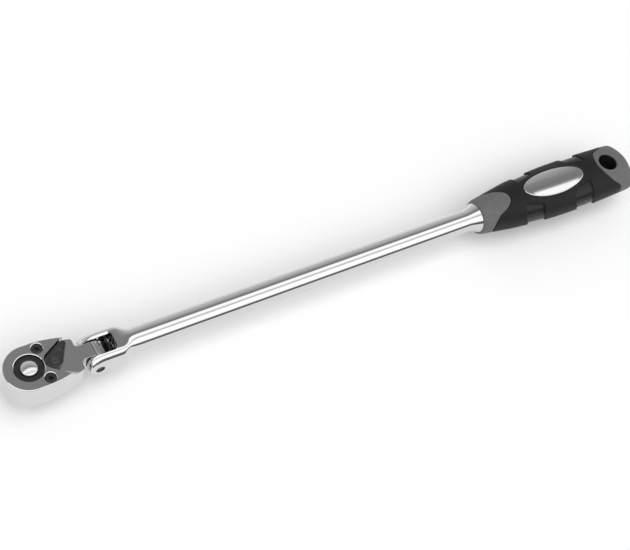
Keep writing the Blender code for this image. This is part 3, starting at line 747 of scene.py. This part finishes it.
class Drive(Assembly):
    """What turns in the head: the geared square, its black cap, the release button and the ball."""

    square: float = 9.53
    square_end: float = -18.6
    square_top: float = -8.4
    journal: float = 8.0
    gear_tip: float = 9.35
    gear_root: float = 8.85
    teeth: int = 72
    ball_height: float = -13.5
    ball_radius: float = 1.7
    cap_top: float = 9.4

    def square_ring(self, half: float, height: float) -> list[Vector]:
        """Section of the square with rounded corners."""
        corner = 1.25
        ring = []
        for k in range(4):
            run = arc((half - corner, half - corner), corner, 0, 90, 5)
            ring += [Matrix.Rotation(math.radians(90 * k), 3, "Z") @ Vector((x, y, height)) for x, y in run]
        return ring

    def anvil(self) -> Mesh:
        """Gear, journal and collar, with the square drive below and bores for the button and ball."""
        half = self.square / 2
        gear = []
        for i in range(self.teeth):
            for offset, radius in ((0.0, self.gear_tip), (0.5, self.gear_root)):
                a = math.tau * (i + offset) / self.teeth
                gear.append((radius * math.cos(a), radius * math.sin(a)))
        shaft = turned([(0, self.square_top), (6.5, self.square_top), (6.9, self.square_top + 0.4), (6.9, 0),
                        (self.journal, 0.1), (self.journal, 7.5), (0, 7.5)], 72)
        levels = ((self.square_end, 0.75), (self.square_end + 0.2, 0.32), (self.square_end + 0.75, 0.05),
                  (self.square_end + 1.1, 0.0), (self.square_top + 1, 0.0))
        post = skin([self.square_ring(half - drop, height) for height, drop in levels])
        bore = turned([(0, -17.3), (1.82, -17.3), (1.82, 1.0), (5.0, 1.0), (5.0, 9.0), (0, 9.0)], 48)
        socket = turned([(0, 1), (1.85, 1), (1.85, half - 0.15), (2.05, half + 0.05), (2.05, 7), (0, 7)], 40)
        shift(turn(socket, "Y", -90), (0, 0, self.ball_height))
        steps = [(Join.ADD, shaft), (Join.ADD, post), (Join.CUT, bore), (Join.CUT, socket)]
        return shape(slab(gear, -5.3, 4.9), steps)

    def cap(self) -> Mesh:
        """Black disc round the button, dished a little towards it."""
        top, edge = self.cap_top, self.journal
        profile = [
            (5.0, 7.8), (edge, 7.8), (edge, top - 0.35), (edge - 0.12, top - 0.1), (edge - 0.4, top),
            (6.0, top - 0.05), (5.3, top - 0.12), (5.05, top - 0.3), (5.0, top - 0.5),
        ]
        return turned(profile, 96)

    def button(self) -> Mesh:
        """Domed button with a rounded shoulder and its necked stem."""
        neck = self.ball_height + 0.3
        profile = [
            (0, -15.0), (1.3, -15.0), (1.6, -14.7), (1.6, neck), (0.95, neck + 0.65), (0.95, neck + 2.75),
            (1.6, neck + 3.4), (1.6, 6.2), (4.5, 6.2), (4.7, 6.4),
        ]
        shoulder = [math.radians(a) for a in (10, 25, 40, 55)]
        dome = [(4.7, 9.3)] + [(3.9 + 0.8 * math.cos(a), 9.7 + 0.85 * math.sin(a)) for a in shoulder]
        edge_radius, edge_height = dome[-1]
        crown = 11.75
        for i in range(1, 13):
            t = i / 12
            radius = edge_radius * (1 - t)
            dome.append((radius, edge_height + (crown - edge_height) * (1 - (radius / edge_radius) ** 2)))
        return turned(profile + dome, 96)

    def build(self) -> None:
        """Make the turning parts."""
        self.add("geared_square", self.anvil(), DRIVE_STEEL, "drive", "drive_steel", ["drive_anvil"])
        self.add("black_disc", self.cap(), DISC_BLACK, "drive", "black_steel", ["anvil_cap"])
        button = self.button()
        self.add("domed_button", button, BUTTON_CHROME, "button", "button_chrome", ["release_button"], 50)
        spring = coil(3.2, 0.4, 1.3, 5.9, 4)
        node = "release_spring"
        self.add("button_spring", spring, SPRING_STEEL, "drive", "spring_steel", [node], 60, False)
        ball = bmesh.new()
        bmesh.ops.create_uvsphere(ball, u_segments=40, v_segments=24, radius=self.ball_radius)
        place = (-(self.square / 2 + 0.6 - self.ball_radius), 0, self.ball_height)
        self.add("ball", shift(ball, place), DRIVE_STEEL, "ball", "drive_steel", ["lock_ball"], 60, False)


class Lever(Assembly):
    """Teardrop reversing lever, with the clip, plunger and spring on its stem."""

    angle: float = 45.7
    reach: float = 11.3
    fat: float = 4.8
    tip: float = 1.8
    low: float = 7.25
    high: float = 9.55
    floor: float = 8.75

    def teardrop(self, inset: float, steps: int = 30) -> list[Point]:
        """Outline of the lever, set in by an inset, pointing along +X from its pivot."""
        fat, tip = self.fat - inset, self.tip - inset
        lean = math.degrees(math.acos((fat - tip) / self.reach))
        return arc((self.reach, 0), tip, -lean, lean, steps // 2) + arc((0, 0), fat, lean, 360 - lean, steps)

    def body(self) -> Mesh:
        """The lever itself: raised rim, sunk face, pivot boss, thumb dimple and stem."""
        blank = slab(self.teardrop(0.0), self.low, self.high, 0.35, Side.TOP)
        floor, thumb = self.floor, (self.reach * 0.6, 0)
        levels = ((floor, 1.15), (floor + 0.15, 0.98), (self.high, 0.72), (self.high + 1, 0.7))
        sunk = skin([[Vector((x, y, z)) for x, y in self.teardrop(inset)] for z, inset in levels])
        raised = [
            (0, -0.5), (2.75, -0.5), (2.75, 0.12), (2.5, 0.45), (2.1, 0.55), (0.9, 0.5), (0.6, 0.25),
            (0, 0.2),
        ]
        hollow = [(0, -0.35), (0.5, -0.3), (0.95, 0), (1.1, 0.4), (0, 0.4)]
        stud = [(0, -0.6), (0.42, -0.6), (0.42, -0.05), (0.25, 0.1), (0, 0.14)]
        boss = turned([(radius, floor + z) for radius, z in raised], 48)
        dimple = turned([(radius, floor + z) for radius, z in hollow], 32, thumb)
        knob = turned([(radius, floor + z) for radius, z in stud], 24, thumb)
        stem = drum(2.5, -4.6, 8.0, 40)
        bore = shift(turn(drum(1.15, 0.0, 4.0, 24), "Y", 90), (-0.7, 0, -0.6))
        turn(bore, "Z", 180)
        steps = [(Join.CUT, sunk), (Join.ADD, boss), (Join.CUT, dimple)]
        steps += [(Join.ADD, knob), (Join.ADD, stem), (Join.CUT, bore)]
        return self.place(shape(blank, steps))

    def place(self, bm: Mesh) -> Mesh:
        """Swing a mesh that points along +X to the lever's rest and put it on the pivot."""
        turn(bm, "Z", self.angle)
        return shift(bm, (self.layout.lever_x, 0, 0))

    def build(self) -> None:
        """Make the lever, its clip and the detent; the pawl keeps its frame shape."""
        self.add("teardrop_lever", self.body(), LEVER_GREY, "lever", "lever_grey", ["reversing_lever"])
        plunger = turned([(0, 1.1), (1.0, 1.1), (1.0, 2.2), (0.85, 2.5), (0.5, 2.66), (0, 2.7)], 32)
        spring = coil(0.65, 0.18, -0.5, 1.0, 3, 16, 8)
        for name, bm, finish, slot, node in (
            ("stem_plunger", plunger, DRIVE_STEEL, "drive_steel", "detent_plunger"),
            ("stem_spring", spring, SPRING_STEEL, "spring_steel", "detent_spring"),
        ):
            shift(turn(bm, "Y", 90), (0, 0, -0.6))
            self.add(name, self.place(turn(bm, "Z", 180)), finish, "lever", slot, [node], 50, False)
        ring = arc((0, 0), 3.6, 35, 325, 48) + arc((0, 0), 2.65, 325, 35, 40)
        clip = shift(slab(ring, 4.3, 4.9, 0.12), (self.layout.lever_x, 0, 0))
        self.add("stem_clip", clip, SPRING_STEEL, "lever", "spring_steel", ["lever_clip"])


# ---------------------------------------------------------------- shank


@dataclass
class ShankSizes:
    """Sizes of the fork and bar, in millimetres."""

    half_width: float = 10.4
    half_height: float = 8.8
    front: float = 31.5
    ear_round: float = 41.0
    chamfer: Point = (2.9, 3.8)
    slot_half: float = 5.1
    slot_end: float = 49.3
    spring_bore: float = 4.3
    spring_bore_end: float = 60.0
    bar: float = 7.25
    tail: float = 6.3
    flare: tuple[float, float, float] = (293.4, 301.6, 9.6)


class Shank(Assembly):
    """Fork, neck, round bar and flare in one chromed forging, with the flex pin."""

    sizes = ShankSizes()

    def section(self, x: float) -> list[Vector]:
        """Section of the forging at x: a chamfered block that becomes the round bar."""
        s = self.sizes
        height = s.half_height
        if x < s.ear_round:
            span = (s.ear_round - x) / (s.ear_round - s.front + 0.02)
            height *= (1 - span ** 2.6) ** (1 / 2.6)
        squash = min(1.0, height / s.half_height)
        roundness = blend(x, 50.8, 61.0)
        width = s.half_width + (s.bar - s.half_width) * blend(x, 51.5, 62.5)
        width -= 0.5 * (1 - blend(x, s.front, s.front + 1.2))
        height += (s.bar - height) * blend(x, 49.5, 62.5)
        cut = (s.chamfer[0], s.chamfer[1] * squash)
        corners = [(width, 0.0), (width, height - cut[1]), (width - cut[0], height), (0.0, height)]
        reach = min(2.1, 0.3 * height)
        block = rounded(corners, (0, reach, reach, 0), 8)
        block = self.even(block, 28)
        turns = [math.pi / 2 * i / 28 for i in range(29)]
        circle = [(width * math.cos(a), height * math.sin(a)) for a in turns]
        quarter = [
            (b[0] + (c[0] - b[0]) * roundness, b[1] + (c[1] - b[1]) * roundness)
            for b, c in zip(block, circle)
        ]
        upper = quarter + [(-y, z) for y, z in reversed(quarter[:-1])]
        ring = upper + [(-y, -z) for y, z in upper[1:-1]]
        return [Vector((x, y, z)) for y, z in ring]

    @staticmethod
    def even(run: Sequence[Point], count: int) -> list[Point]:
        """Share a run's points out so that its corners stay and count + 1 points remain.

        Args:
            run: the points, rounded corners included.
            count: how many spans to end with.

        Returns:
            The run with its straight stretches divided.
        """
        spare = count - (len(run) - 1)
        lengths = [math.dist(a, b) for a, b in zip(run, run[1:])]
        cuts = [0] * len(lengths)
        for _ in range(spare):
            longest = max(range(len(lengths)), key=lambda i: lengths[i] / (cuts[i] + 1))
            cuts[longest] += 1
        out = [run[0]]
        for (a, b), extra in zip(zip(run, run[1:]), cuts):
            for k in range(1, extra + 2):
                t = k / (extra + 1)
                out.append((a[0] + (b[0] - a[0]) * t, a[1] + (b[1] - a[1]) * t))
        return out

    def forging(self) -> Mesh:
        """The whole shank with its window, spring bore and pin hole."""
        s = self.sizes
        pin = self.layout.pin_x
        ears = [1 - math.cos(math.pi / 2 * i / 14) for i in range(15)]
        rings = [self.section(s.front + (s.ear_round - s.front) * share) for share in ears]
        rings += [self.section(x) for x in (43.5, 46.0, 48.5, 50.0)]
        rings += [self.section(50.8 + 12.4 * i / 24) for i in range(25)]
        disc = [(y / s.bar, z / s.bar) for _, y, z in rings[-1]]
        bar = [(x, s.bar) for x in (70.0, 120.0, 180.0, 240.0, 288.0)]
        start, end, widest = s.flare
        rise = widest - s.bar
        sweep = ((end - start) ** 2 + rise ** 2) / (2 * rise)
        for i in range(15):
            x = (end - start) * i / 14
            bar.append((start + x, s.bar + sweep - math.sqrt(sweep ** 2 - x ** 2)))
        bar += [(end + 0.04, s.tail), (350.0, s.tail), (394.0, s.tail), (395.0, s.tail - 0.8)]
        rings += [[Vector((x, y * radius, z * radius)) for y, z in disc] for x, radius in bar]
        window = [(28.0, -s.slot_half)] + arc((s.slot_end - 1.7, -s.slot_half + 1.7), 1.7, -90, 0, 8)
        window += arc((s.slot_end - 1.7, s.slot_half - 1.7), 1.7, 0, 90, 8) + [(28.0, s.slot_half)]
        bore = turn(drum(s.spring_bore, s.slot_end - 1, s.spring_bore_end, 48), "Y", 90)
        hole = shift(turn(drum(2.62, -12, 12, 48), "X", 90), (pin, 0, 0))
        lips = []
        for side in (-1, 1):
            y, z = side * (s.slot_half - 0.2), s.half_height - 1.25
            out = y + side * 1.35
            section = ((y, z), (out, z + 1.35), (out, 12.0), (y, 12.0))
            ends = [[Vector((x, *corner)) for corner in section] for x in (28.0, s.slot_end - 1.4)]
            lips.append((Join.CUT, skin(ends)))
        steps = [(Join.CUT, slab(window, -12, 12)), *lips, (Join.CUT, bore), (Join.CUT, hole)]
        return shape(skin(rings), steps)

    def build(self) -> None:
        """Make the forging and the pin."""
        self.add("forged_shank", self.forging(), SHANK_CHROME, "handle", "shank_chrome", ["handle_shank"], 34)
        end = 9.6
        half = [(2.5, end - 0.5), (2.3, end - 0.15), (1.9, end), (0, end)]
        pin = turned([(radius, -z) for radius, z in reversed(half)] + half, 40)
        shift(turn(pin, "X", 90), (self.layout.pin_x, 0, 0))
        self.add("hinge_pin", pin, SCREW_BLACK, "handle", "black_steel", ["flex_pin"])


class Index(Assembly):
    """Sprung plunger in the fork's window."""

    nose: float = 44.5
    back: float = 46.8

    def plunger(self) -> Mesh:
        """Block with a wedge nose towards the notches and a guide stem."""
        face = self.nose + 0.9
        side = [(face, -4.6), (self.back, -4.6), (self.back, 4.6), (face, 4.6)]
        side += [(face, 0.9), (self.nose, 0.3), (self.nose, -0.3), (face, -0.9)]
        stem = turn(drum(2.3, self.back - 0.8, 56.0, 36), "Y", 90)
        return shape(side_slab(side, 4.8, 0.3), [(Join.ADD, stem)])

    def build(self) -> None:
        """Make the plunger and its spring."""
        self.add("notch_plunger", self.plunger(), PLUNGER_BLACK, "plunger", "black_steel", ["index_plunger"])
        spring = turn(coil(3.3, 0.5, 47.1, 59.7, 6), "Y", 90)
        node = "index_spring"
        self.add("plunger_spring", spring, SPRING_STEEL, "handle", "spring_steel", [node], 60, False)


# ---------------------------------------------------------------- grip


@dataclass
class GripSizes:
    """Sizes of the grip, in millimetres."""

    start: float = 301.8
    half_height: float = 12.3
    front_drop: float = 1.3
    power: float = 2.3
    sleeve: float = 2.6
    panels: tuple[Point, ...] = ((333.0, 347.6), (373.4, 388.7))
    panel_shifts: Point = (5.6, 7.2)
    panel_depth: float = 1.15
    tail: float = 422.6
    end_centre: float = 377.3
    end_radius: float = 50.0
    hole_x: float = 410.4
    hole: float = 6.2
    badge_length: float = 24.7
    badge_width: float = 9.6
    widths: tuple[Point, ...] = (
        (301.8, 10.8), (303.8, 11.0), (318.5, 13.4), (333.5, 15.7), (362.5, 17.9), (391.0, 18.2),
        (413.0, 17.5), (424.0, 17.1),
    )


class Grip(Assembly):
    """Grey core, black sleeve with finger panels, raised bezel and the oval badge."""

    sizes = GripSizes()
    around: int = 180

    def half_width(self, x: float) -> float:
        """Half width of the grip at x, on a smooth curve through its stations."""
        stations = self.sizes.widths
        slopes = []
        for i in range(len(stations)):
            low, high = stations[max(0, i - 1)], stations[min(len(stations) - 1, i + 1)]
            slopes.append((high[1] - low[1]) / (high[0] - low[0]))
        for i in range(len(stations) - 1):
            (x0, w0), (x1, w1) = stations[i], stations[i + 1]
            if x <= x1 or i == len(stations) - 2:
                t = min(1.3, max(0.0, (x - x0) / (x1 - x0)))
                span = x1 - x0
                return ((2 * t ** 3 - 3 * t ** 2 + 1) * w0 + (t ** 3 - 2 * t ** 2 + t) * span * slopes[i]
                        + (3 * t ** 2 - 2 * t ** 3) * w1 + (t ** 3 - t ** 2) * span * slopes[i + 1])
        return stations[-1][1]

    @property
    def end(self) -> float:
        """Where the tail's flat arc ends."""
        return self.sizes.end_centre + self.sizes.end_radius

    def spot(self, x: float, a: float, sink: float = 0.0) -> Vector:
        """Point of the grip's surface at x and an angle from +Y, sunk by a depth."""
        s = self.sizes
        c, d = math.cos(a), math.sin(a)
        width = self.half_width(x)
        height = s.half_height - s.front_drop * (1 - blend(x, s.start, 325.0))
        if x > s.hole_x:
            arc_width = math.sqrt(max(0.01, s.end_radius ** 2 - (x - s.end_centre) ** 2))
            width = -0.4 * math.log(math.exp(-width / 0.4) + math.exp(-arc_width / 0.4))
            width = max(width, 0.1)
            height -= 2.0 * blend(x, 417.0, 427.0)
            edge = max(0.0, (x - self.end + 2.4) / 2.4)
            height -= 2.6 * (1 - math.sqrt(max(0.0, 1 - edge ** 2)))
        y = max(width - sink, 0.05) * math.copysign(abs(c) ** (2 / s.power), c)
        z = (height - sink) * math.copysign(abs(d) ** (2 / s.power), d)
        return Vector((x, y, z))

    def panel_place(self, x: float, z: float) -> float:
        """Where a spot lies along the panels, whose edges lean back below."""
        return x - 0.5 * max(0.0, 3.5 - z)

    def panel_sink(self, x: float, y: float, z: float) -> float:
        """Depth of the finger panels at a spot of the grip."""
        s = self.sizes
        sink = 0.0
        for index, (start, end) in enumerate(s.panels):
            place = self.panel_place(x, z) - (s.panel_shifts[index] if y > 0 else 0.0)
            top = 7.8 + 0.27 * (place - start) if index == 0 else 10.6 - 0.21 * (place - start)
            along = blend(place, start, start + 0.9) * (1 - blend(place, end - 0.4, end))
            sink = max(sink, s.panel_depth * along * blend(abs(y), top, top + 0.8))
        return sink

    def front_edge(self, y: float) -> float:
        """Where the sleeve starts: a round tongue between swept sides."""
        tongue = 307.1 + 18.4 * math.sqrt(max(0.0, 1 - (y / 9.6) ** 2))
        swept = 316.5 - 7.5 * blend(abs(y), 6.0, 13.5)
        return max(tongue, swept) if abs(y) < 9.5 else swept

    def rear_edge(self, y: float) -> float:
        """Where the sleeve ends: a curve round the hanging hole."""
        side = 9.0 * blend(y, 9.5, 15.8) if y > 0 else 2.6 * blend(-y, 13.5, 17.2)
        return 401.2 + 7.3 * (y / 14.7) ** 2 + side

    def edges_at(self, a: float) -> Point:
        """Both ends of the sleeve at an angle round the grip."""
        front, rear = 315.0, 405.0
        for _ in range(12):
            front += 0.5 * (self.front_edge(self.spot(front, a).y) - front)
            rear += 0.5 * (self.rear_edge(self.spot(rear, a).y) - rear)
        return front, rear

    def sleeve_rows(self) -> list[float]:
        """Fixed stations of the sleeve's middle, close enough together for the panels' edges."""
        return [328.0 + 0.4 * i for i in range(176)]

    def in_badge(self, x: float, y: float, grow: float) -> bool:
        """Whether a spot lies within the badge's oval, grown by a margin."""
        s = self.sizes
        along = (x - self.layout.badge_x) / (s.badge_length + grow)
        return along ** 2 + (y / (s.badge_width + grow)) ** 2 < 1

    def sleeve(self) -> Mesh:
        """Black sleeve: its ends roll down to the core, with the panels sunk into its sides."""
        ends = [self.edges_at(math.tau * i / self.around) for i in range(self.around)]
        middle = self.sleeve_rows()
        rolls = ((0.05, 1.6), (0.12, 0.7), (0.3, 0.22), (0.65, 0.03), (1.2, 0.0))
        rows: list[list[Vector]] = []

        def row(places: Callable[[int], float], sink: float) -> None:
            """Add a ring of the surface, sunk by a depth."""
            ring = []
            for i in range(self.around):
                a = math.tau * i / self.around
                x = places(i)
                surface = self.spot(x, a)
                depth = sink + self.panel_sink(*surface)
                if surface.z > 0 and self.in_badge(x, surface.y, -0.5):
                    depth += 0.9
                ring.append(self.spot(x, a, depth))
            rows.append(ring)

        for offset, sink in rolls:
            row(lambda i, o=offset: ends[i][0] + o, sink)
        for k in range(1, 12):
            t = k / 12
            row(lambda i, t=t: (ends[i][0] + 1.2) * (1 - t) + middle[0] * t, 0.0)
        for x in middle:
            row(lambda i, x=x: x, 0.0)
        for k in range(1, 12):
            t = k / 12
            row(lambda i, t=t: middle[-1] * (1 - t) + (ends[i][1] - 1.2) * t, 0.0)
        for offset, sink in reversed(rolls):
            row(lambda i, o=offset: ends[i][1] - o, sink)
        sink = self.sizes.sleeve - 0.1
        for ring in (rows[-1], rows[0]):
            rows.append([self.spot(r.x, math.tau * i / self.around, sink) for i, r in enumerate(ring)])
        return skin(rows, capped=False)

    def paint_hole_shade(self, core: bpy.types.Object) -> None:
        """Paint shade on the wall of the hanging hole: its upright faces get the black rubber material,
        standing in for the shade inside the hole.

        Args:
            core: the finished grey core.
        """
        s = self.sizes
        # painted shade: black rubber on the hole's wall stands in for the shade that falls inside the grey
        # core's hole
        core.data.materials.append(GRIP_BLACK.make("hole_wall_painted_shade"))
        for face in core.data.polygons:
            x, y = face.center.x / MM, face.center.y / MM
            if math.dist((x, y), (s.hole_x, 0.0)) < s.hole + 0.3 and abs(face.normal.z) < 0.5:
                face.material_index = 1

    def dress_panels(self, sleeve: bpy.types.Object) -> None:
        """Give the sunk panels their smoother finish.

        Args:
            sleeve: the finished sleeve.
        """
        sleeve.data.materials.append(PANEL_BLACK.make("finger_panels"))
        lift = self.layout.axis_height
        for face in sleeve.data.polygons:
            x, y, z = (value / MM for value in face.center)
            z -= lift
            if z > -13 and abs(y) > 5 and self.panel_sink(x, y, z) > 0.55 * self.sizes.panel_depth:
                face.material_index = 1

    def core(self) -> Mesh:
        """Grey core: full at both ends, slim under the sleeve, with the shank's bore and the hanging hole."""
        s = self.sizes
        ends = [self.edges_at(math.tau * i / self.around) for i in range(self.around)]
        rows: list[list[Vector]] = []

        def row(places: Callable[[int], float], sink: float) -> None:
            """Add a ring of the surface, sunk by a depth."""
            ring = []
            for i in range(self.around):
                x = places(i)
                ring.append(self.spot(x, math.tau * i / self.around, sink))
            rows.append(ring)

        for reach, sink in ((0.0, 1.2), (0.1, 0.95), (0.6, 0.55), (1.3, 0.22), (2.1, 0.04), (2.6, 0.0)):
            row(lambda i, x=s.start + reach: x, sink)
        for k in range(1, 10):
            t = k / 10
            row(lambda i, t=t: (s.start + 2.6) * (1 - t) + (ends[i][0] - 0.6) * t, 0.0)
        for offset, sink in ((-0.5, 0.0), (-0.2, 0.1), (-0.04, 0.5), (0.0, s.sleeve + 0.1)):
            row(lambda i, o=offset: ends[i][0] + o, sink)
        for offset, sink in ((0.0, s.sleeve + 0.1), (0.04, 0.5), (0.2, 0.1), (0.5, 0.0)):
            row(lambda i, o=offset: ends[i][1] + o, sink)
        for k in range(1, 14):
            t = k / 14
            row(lambda i, t=t: (ends[i][1] + 0.6) * (1 - t) + s.tail * t, 0.0)
        for k in range(0, 31):
            x = s.tail + (self.end - s.tail) * math.sin(math.pi / 2 * k / 30.3)
            row(lambda i, x=x: x, 0.0)
        bore = turn(turned([(0, 300), (6.6, 300), (6.6, 395.5), (0, 395.5)], 48), "Y", 90)
        lip = 1.9
        bends = [math.radians(a) for a in range(0, 91, 15)]
        mouth = [(s.hole + lip * (1 - math.sin(a)), s.half_height - lip * (1 - math.cos(a))) for a in bends]
        mouth = [(0, 16), (mouth[0][0] + 0.3, 16)] + mouth
        profile = [(radius, -z) for radius, z in mouth] + mouth[::-1]
        hole = turned(profile, 80, (s.hole_x, 0))
        return shape(skin(rows), [(Join.CUT, bore), (Join.CUT, hole)])

    def crown(self, x: float, y: float) -> float:
        """Height of the grip's top at a spot in plan."""
        s = self.sizes
        return s.half_height * (1 - (abs(y) / self.half_width(x)) ** s.power) ** (1 / s.power)

    def oval(self, grow: float, lift: float, count: int = 144) -> list[Vector]:
        """Ring round the badge, grown by a margin and lifted off the grip's crown."""
        s = self.sizes
        ring = []
        for i in range(count):
            a = math.tau * i / count
            x = self.layout.badge_x + (s.badge_length + grow) * math.cos(a)
            y = (s.badge_width + grow) * math.sin(a)
            ring.append(Vector((x, y, self.crown(x, y) + lift)))
        return ring

    def bezel(self) -> Mesh:
        """Raised black lip round the badge."""
        profile = (
            (-0.1, -0.9), (-0.05, -0.05), (0.1, 0.12), (0.4, 0.2), (1.0, 0.18), (1.7, 0.08), (2.4, -0.1),
            (2.4, -0.9),
        )
        return skin([self.oval(grow, lift) for grow, lift in profile], capped=False)

    def badge(self) -> Mesh:
        """Oval plate with a fine rounded rim and a crowned face."""
        rim = ((-0.2, -0.8), (-0.2, 0.0), (-0.32, 0.14), (-0.6, 0.2), (-0.95, 0.17))
        rings = [self.oval(grow, lift) for grow, lift in rim]
        for k in range(1, 12):
            t = k / 12
            ring = []
            for edge in self.oval(-0.95, 0.0):
                x = self.layout.badge_x + (edge.x - self.layout.badge_x) * (1 - t)
                y = edge.y * (1 - t)
                ring.append(Vector((x, y, self.crown(x, y) + 0.17)))
            rings.append(ring)
        return skin(rings)

    def build(self) -> None:
        """Make the grip's parts."""
        core = self.add("grey_core", self.core(), GRIP_GREY, "handle", "grip_grey", ["grip_core"], 40)
        self.paint_hole_shade(core)
        node = "grip_overmould"
        shell = self.sleeve()
        sleeve = self.add("black_sleeve", shell, GRIP_BLACK, "handle", "grip_black", [node], 28, False)
        self.dress_panels(sleeve)
        self.add("badge_bezel", self.bezel(), GRIP_BLACK, "handle", "grip_black", (), 50, False)
        node = "badge_plate"
        self.add("oval_badge", self.badge(), BADGE_METAL, "handle", "badge_chrome", [node], 40, False)


# ---------------------------------------------------------------- studio


@dataclass
class Studio:
    """Pale floor, soft surroundings and the camera."""

    lens: float = 70.26
    bar_radius: float = 0.00725
    right: tuple[float, float, float] = (0.84970, -0.48236, 0.21291)
    up: tuple[float, float, float] = (0.30402, 0.77814, 0.54961)
    back: tuple[float, float, float] = (-0.43078, -0.40228, 0.80784)
    place: tuple[float, float, float] = (-18.919, -41.006, 82.328)

    def camera(self, axis_height: float) -> None:
        """Stand the camera up: its place is in bar radii from the drive's axis and the bar's axis."""
        lens = bpy.data.cameras.new("camera")
        lens.lens = self.lens
        lens.sensor_width = 36.0
        lens.clip_start = 0.01
        lens.clip_end = 20.0
        stand = bpy.data.objects.new("camera", lens)
        spot = Vector(self.place) * self.bar_radius + Vector((0, 0, axis_height * MM))
        axes = Matrix((self.right, self.up, self.back)).transposed()
        stand.matrix_world = Matrix.Translation(spot) @ axes.to_4x4()
        bpy.context.collection.objects.link(stand)
        bpy.context.scene.camera = stand

    def surroundings(self) -> None:
        """A white studio: a grey ceiling card, bright side cards and a dark gap at the horizon."""
        world = bpy.data.worlds.new("studio")
        bpy.context.scene.world = world
        world.use_nodes = True
        nodes, links = world.node_tree.nodes, world.node_tree.links
        direction = nodes.new("ShaderNodeTexCoord")
        split = nodes.new("ShaderNodeSeparateXYZ")
        links.new(direction.outputs["Generated"], split.inputs["Vector"])
        angle = nodes.new("ShaderNodeMath")
        angle.operation = "ARCTAN2"
        links.new(split.outputs["Z"], angle.inputs[0])
        links.new(split.outputs["Y"], angle.inputs[1])
        span = nodes.new("ShaderNodeMapRange")
        span.inputs["From Min"].default_value = -math.pi
        span.inputs["From Max"].default_value = math.pi
        links.new(angle.outputs["Value"], span.inputs["Value"])
        ramp = nodes.new("ShaderNodeValToRGB")
        links.new(span.outputs["Result"], ramp.inputs["Fac"])
        cards = (
            (-180, 1.0), (-90, 1.0), (-8, 1.0), (-4, 0.80), (3, 0.76), (28, 0.66), (40, 0.53), (52, 0.40),
            (60, 0.30), (68, 0.26), (74, 0.32), (79, 1.5), (97, 1.5), (108, 0.75), (114, 0.66), (119, 1.5),
            (152, 1.6), (159, 0.9), (164, 0.16), (180, 0.14),
        )
        stops = ramp.color_ramp.elements
        while len(stops) > 1:
            stops.remove(stops[-1])
        for index, (degrees, level) in enumerate(cards):
            position = (degrees + 180) / 360
            stop = stops[0] if index == 0 else stops.new(position)
            stop.position = position
            stop.color = (level, level, level, 1.0)
        ground = nodes["Background"]
        links.new(ramp.outputs["Color"], ground.inputs["Color"])
        ground.inputs["Strength"].default_value = 1.0
        links.new(ground.outputs["Background"], nodes["World Output"].inputs["Surface"])

    def lamp(self, name: str, place: Sequence[float], size: float, power: float) -> None:
        """A soft square lamp aimed at the wrench's middle."""
        light = bpy.data.lights.new(name, "AREA")
        light.size = size
        light.energy = power
        lamp = bpy.data.objects.new(name, light)
        target = Vector((0.22, 0.0, 0.0))
        lamp.location = place
        lamp.rotation_euler = (target - Vector(place)).to_track_quat("-Z", "Y").to_euler()
        lamp.visible_glossy = False
        bpy.context.collection.objects.link(lamp)

    def floor(self) -> None:
        """Plain pale floor."""
        bm = bmesh.new()
        bmesh.ops.create_grid(bm, x_segments=1, y_segments=1, size=4.0)
        bmesh.ops.translate(bm, verts=bm.verts, vec=(0.2, 0, -0.0004))
        mesh = bpy.data.meshes.new("floor")
        bm.to_mesh(mesh)
        bm.free()
        material = bpy.data.materials.new("floor_finish")
        material.use_nodes = True
        shader = material.node_tree.nodes["Principled BSDF"]
        shader.inputs["Base Color"].default_value = (0.88, 0.88, 0.88, 1.0)
        shader.inputs["Roughness"].default_value = 0.9
        shader.inputs["Specular IOR Level"].default_value = 0.1
        mesh.materials.append(material)
        plane = bpy.data.objects.new("floor", mesh)
        bpy.context.collection.objects.link(plane)

    def build(self, axis_height: float) -> None:
        """Set up the whole studio."""
        bpy.context.scene.view_settings.view_transform = "Standard"
        self.camera(axis_height)
        self.surroundings()
        self.lamp("key", (0.0, -0.7, 1.2), 1.2, 3.5)
        self.lamp("fill", (0.4, 0.6, 1.3), 1.4, 2.0)
        self.floor()


def main() -> None:
    """Build every assembly around the frame."""
    logging.basicConfig(level=logging.INFO, format="%(name)s %(message)s")
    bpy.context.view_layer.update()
    layout = Layout.read()
    Studio().build(layout.axis_height)
    for assembly in (Head, Drive, Lever, Shank, Index, Grip):
        assembly(layout).build()
    pawl = frame["nodes"]["pawl"]
    pawl.data.materials.clear()
    pawl.data.materials.append(DRIVE_STEEL.make("pawl"))


if __name__ == "__main__":
    main()
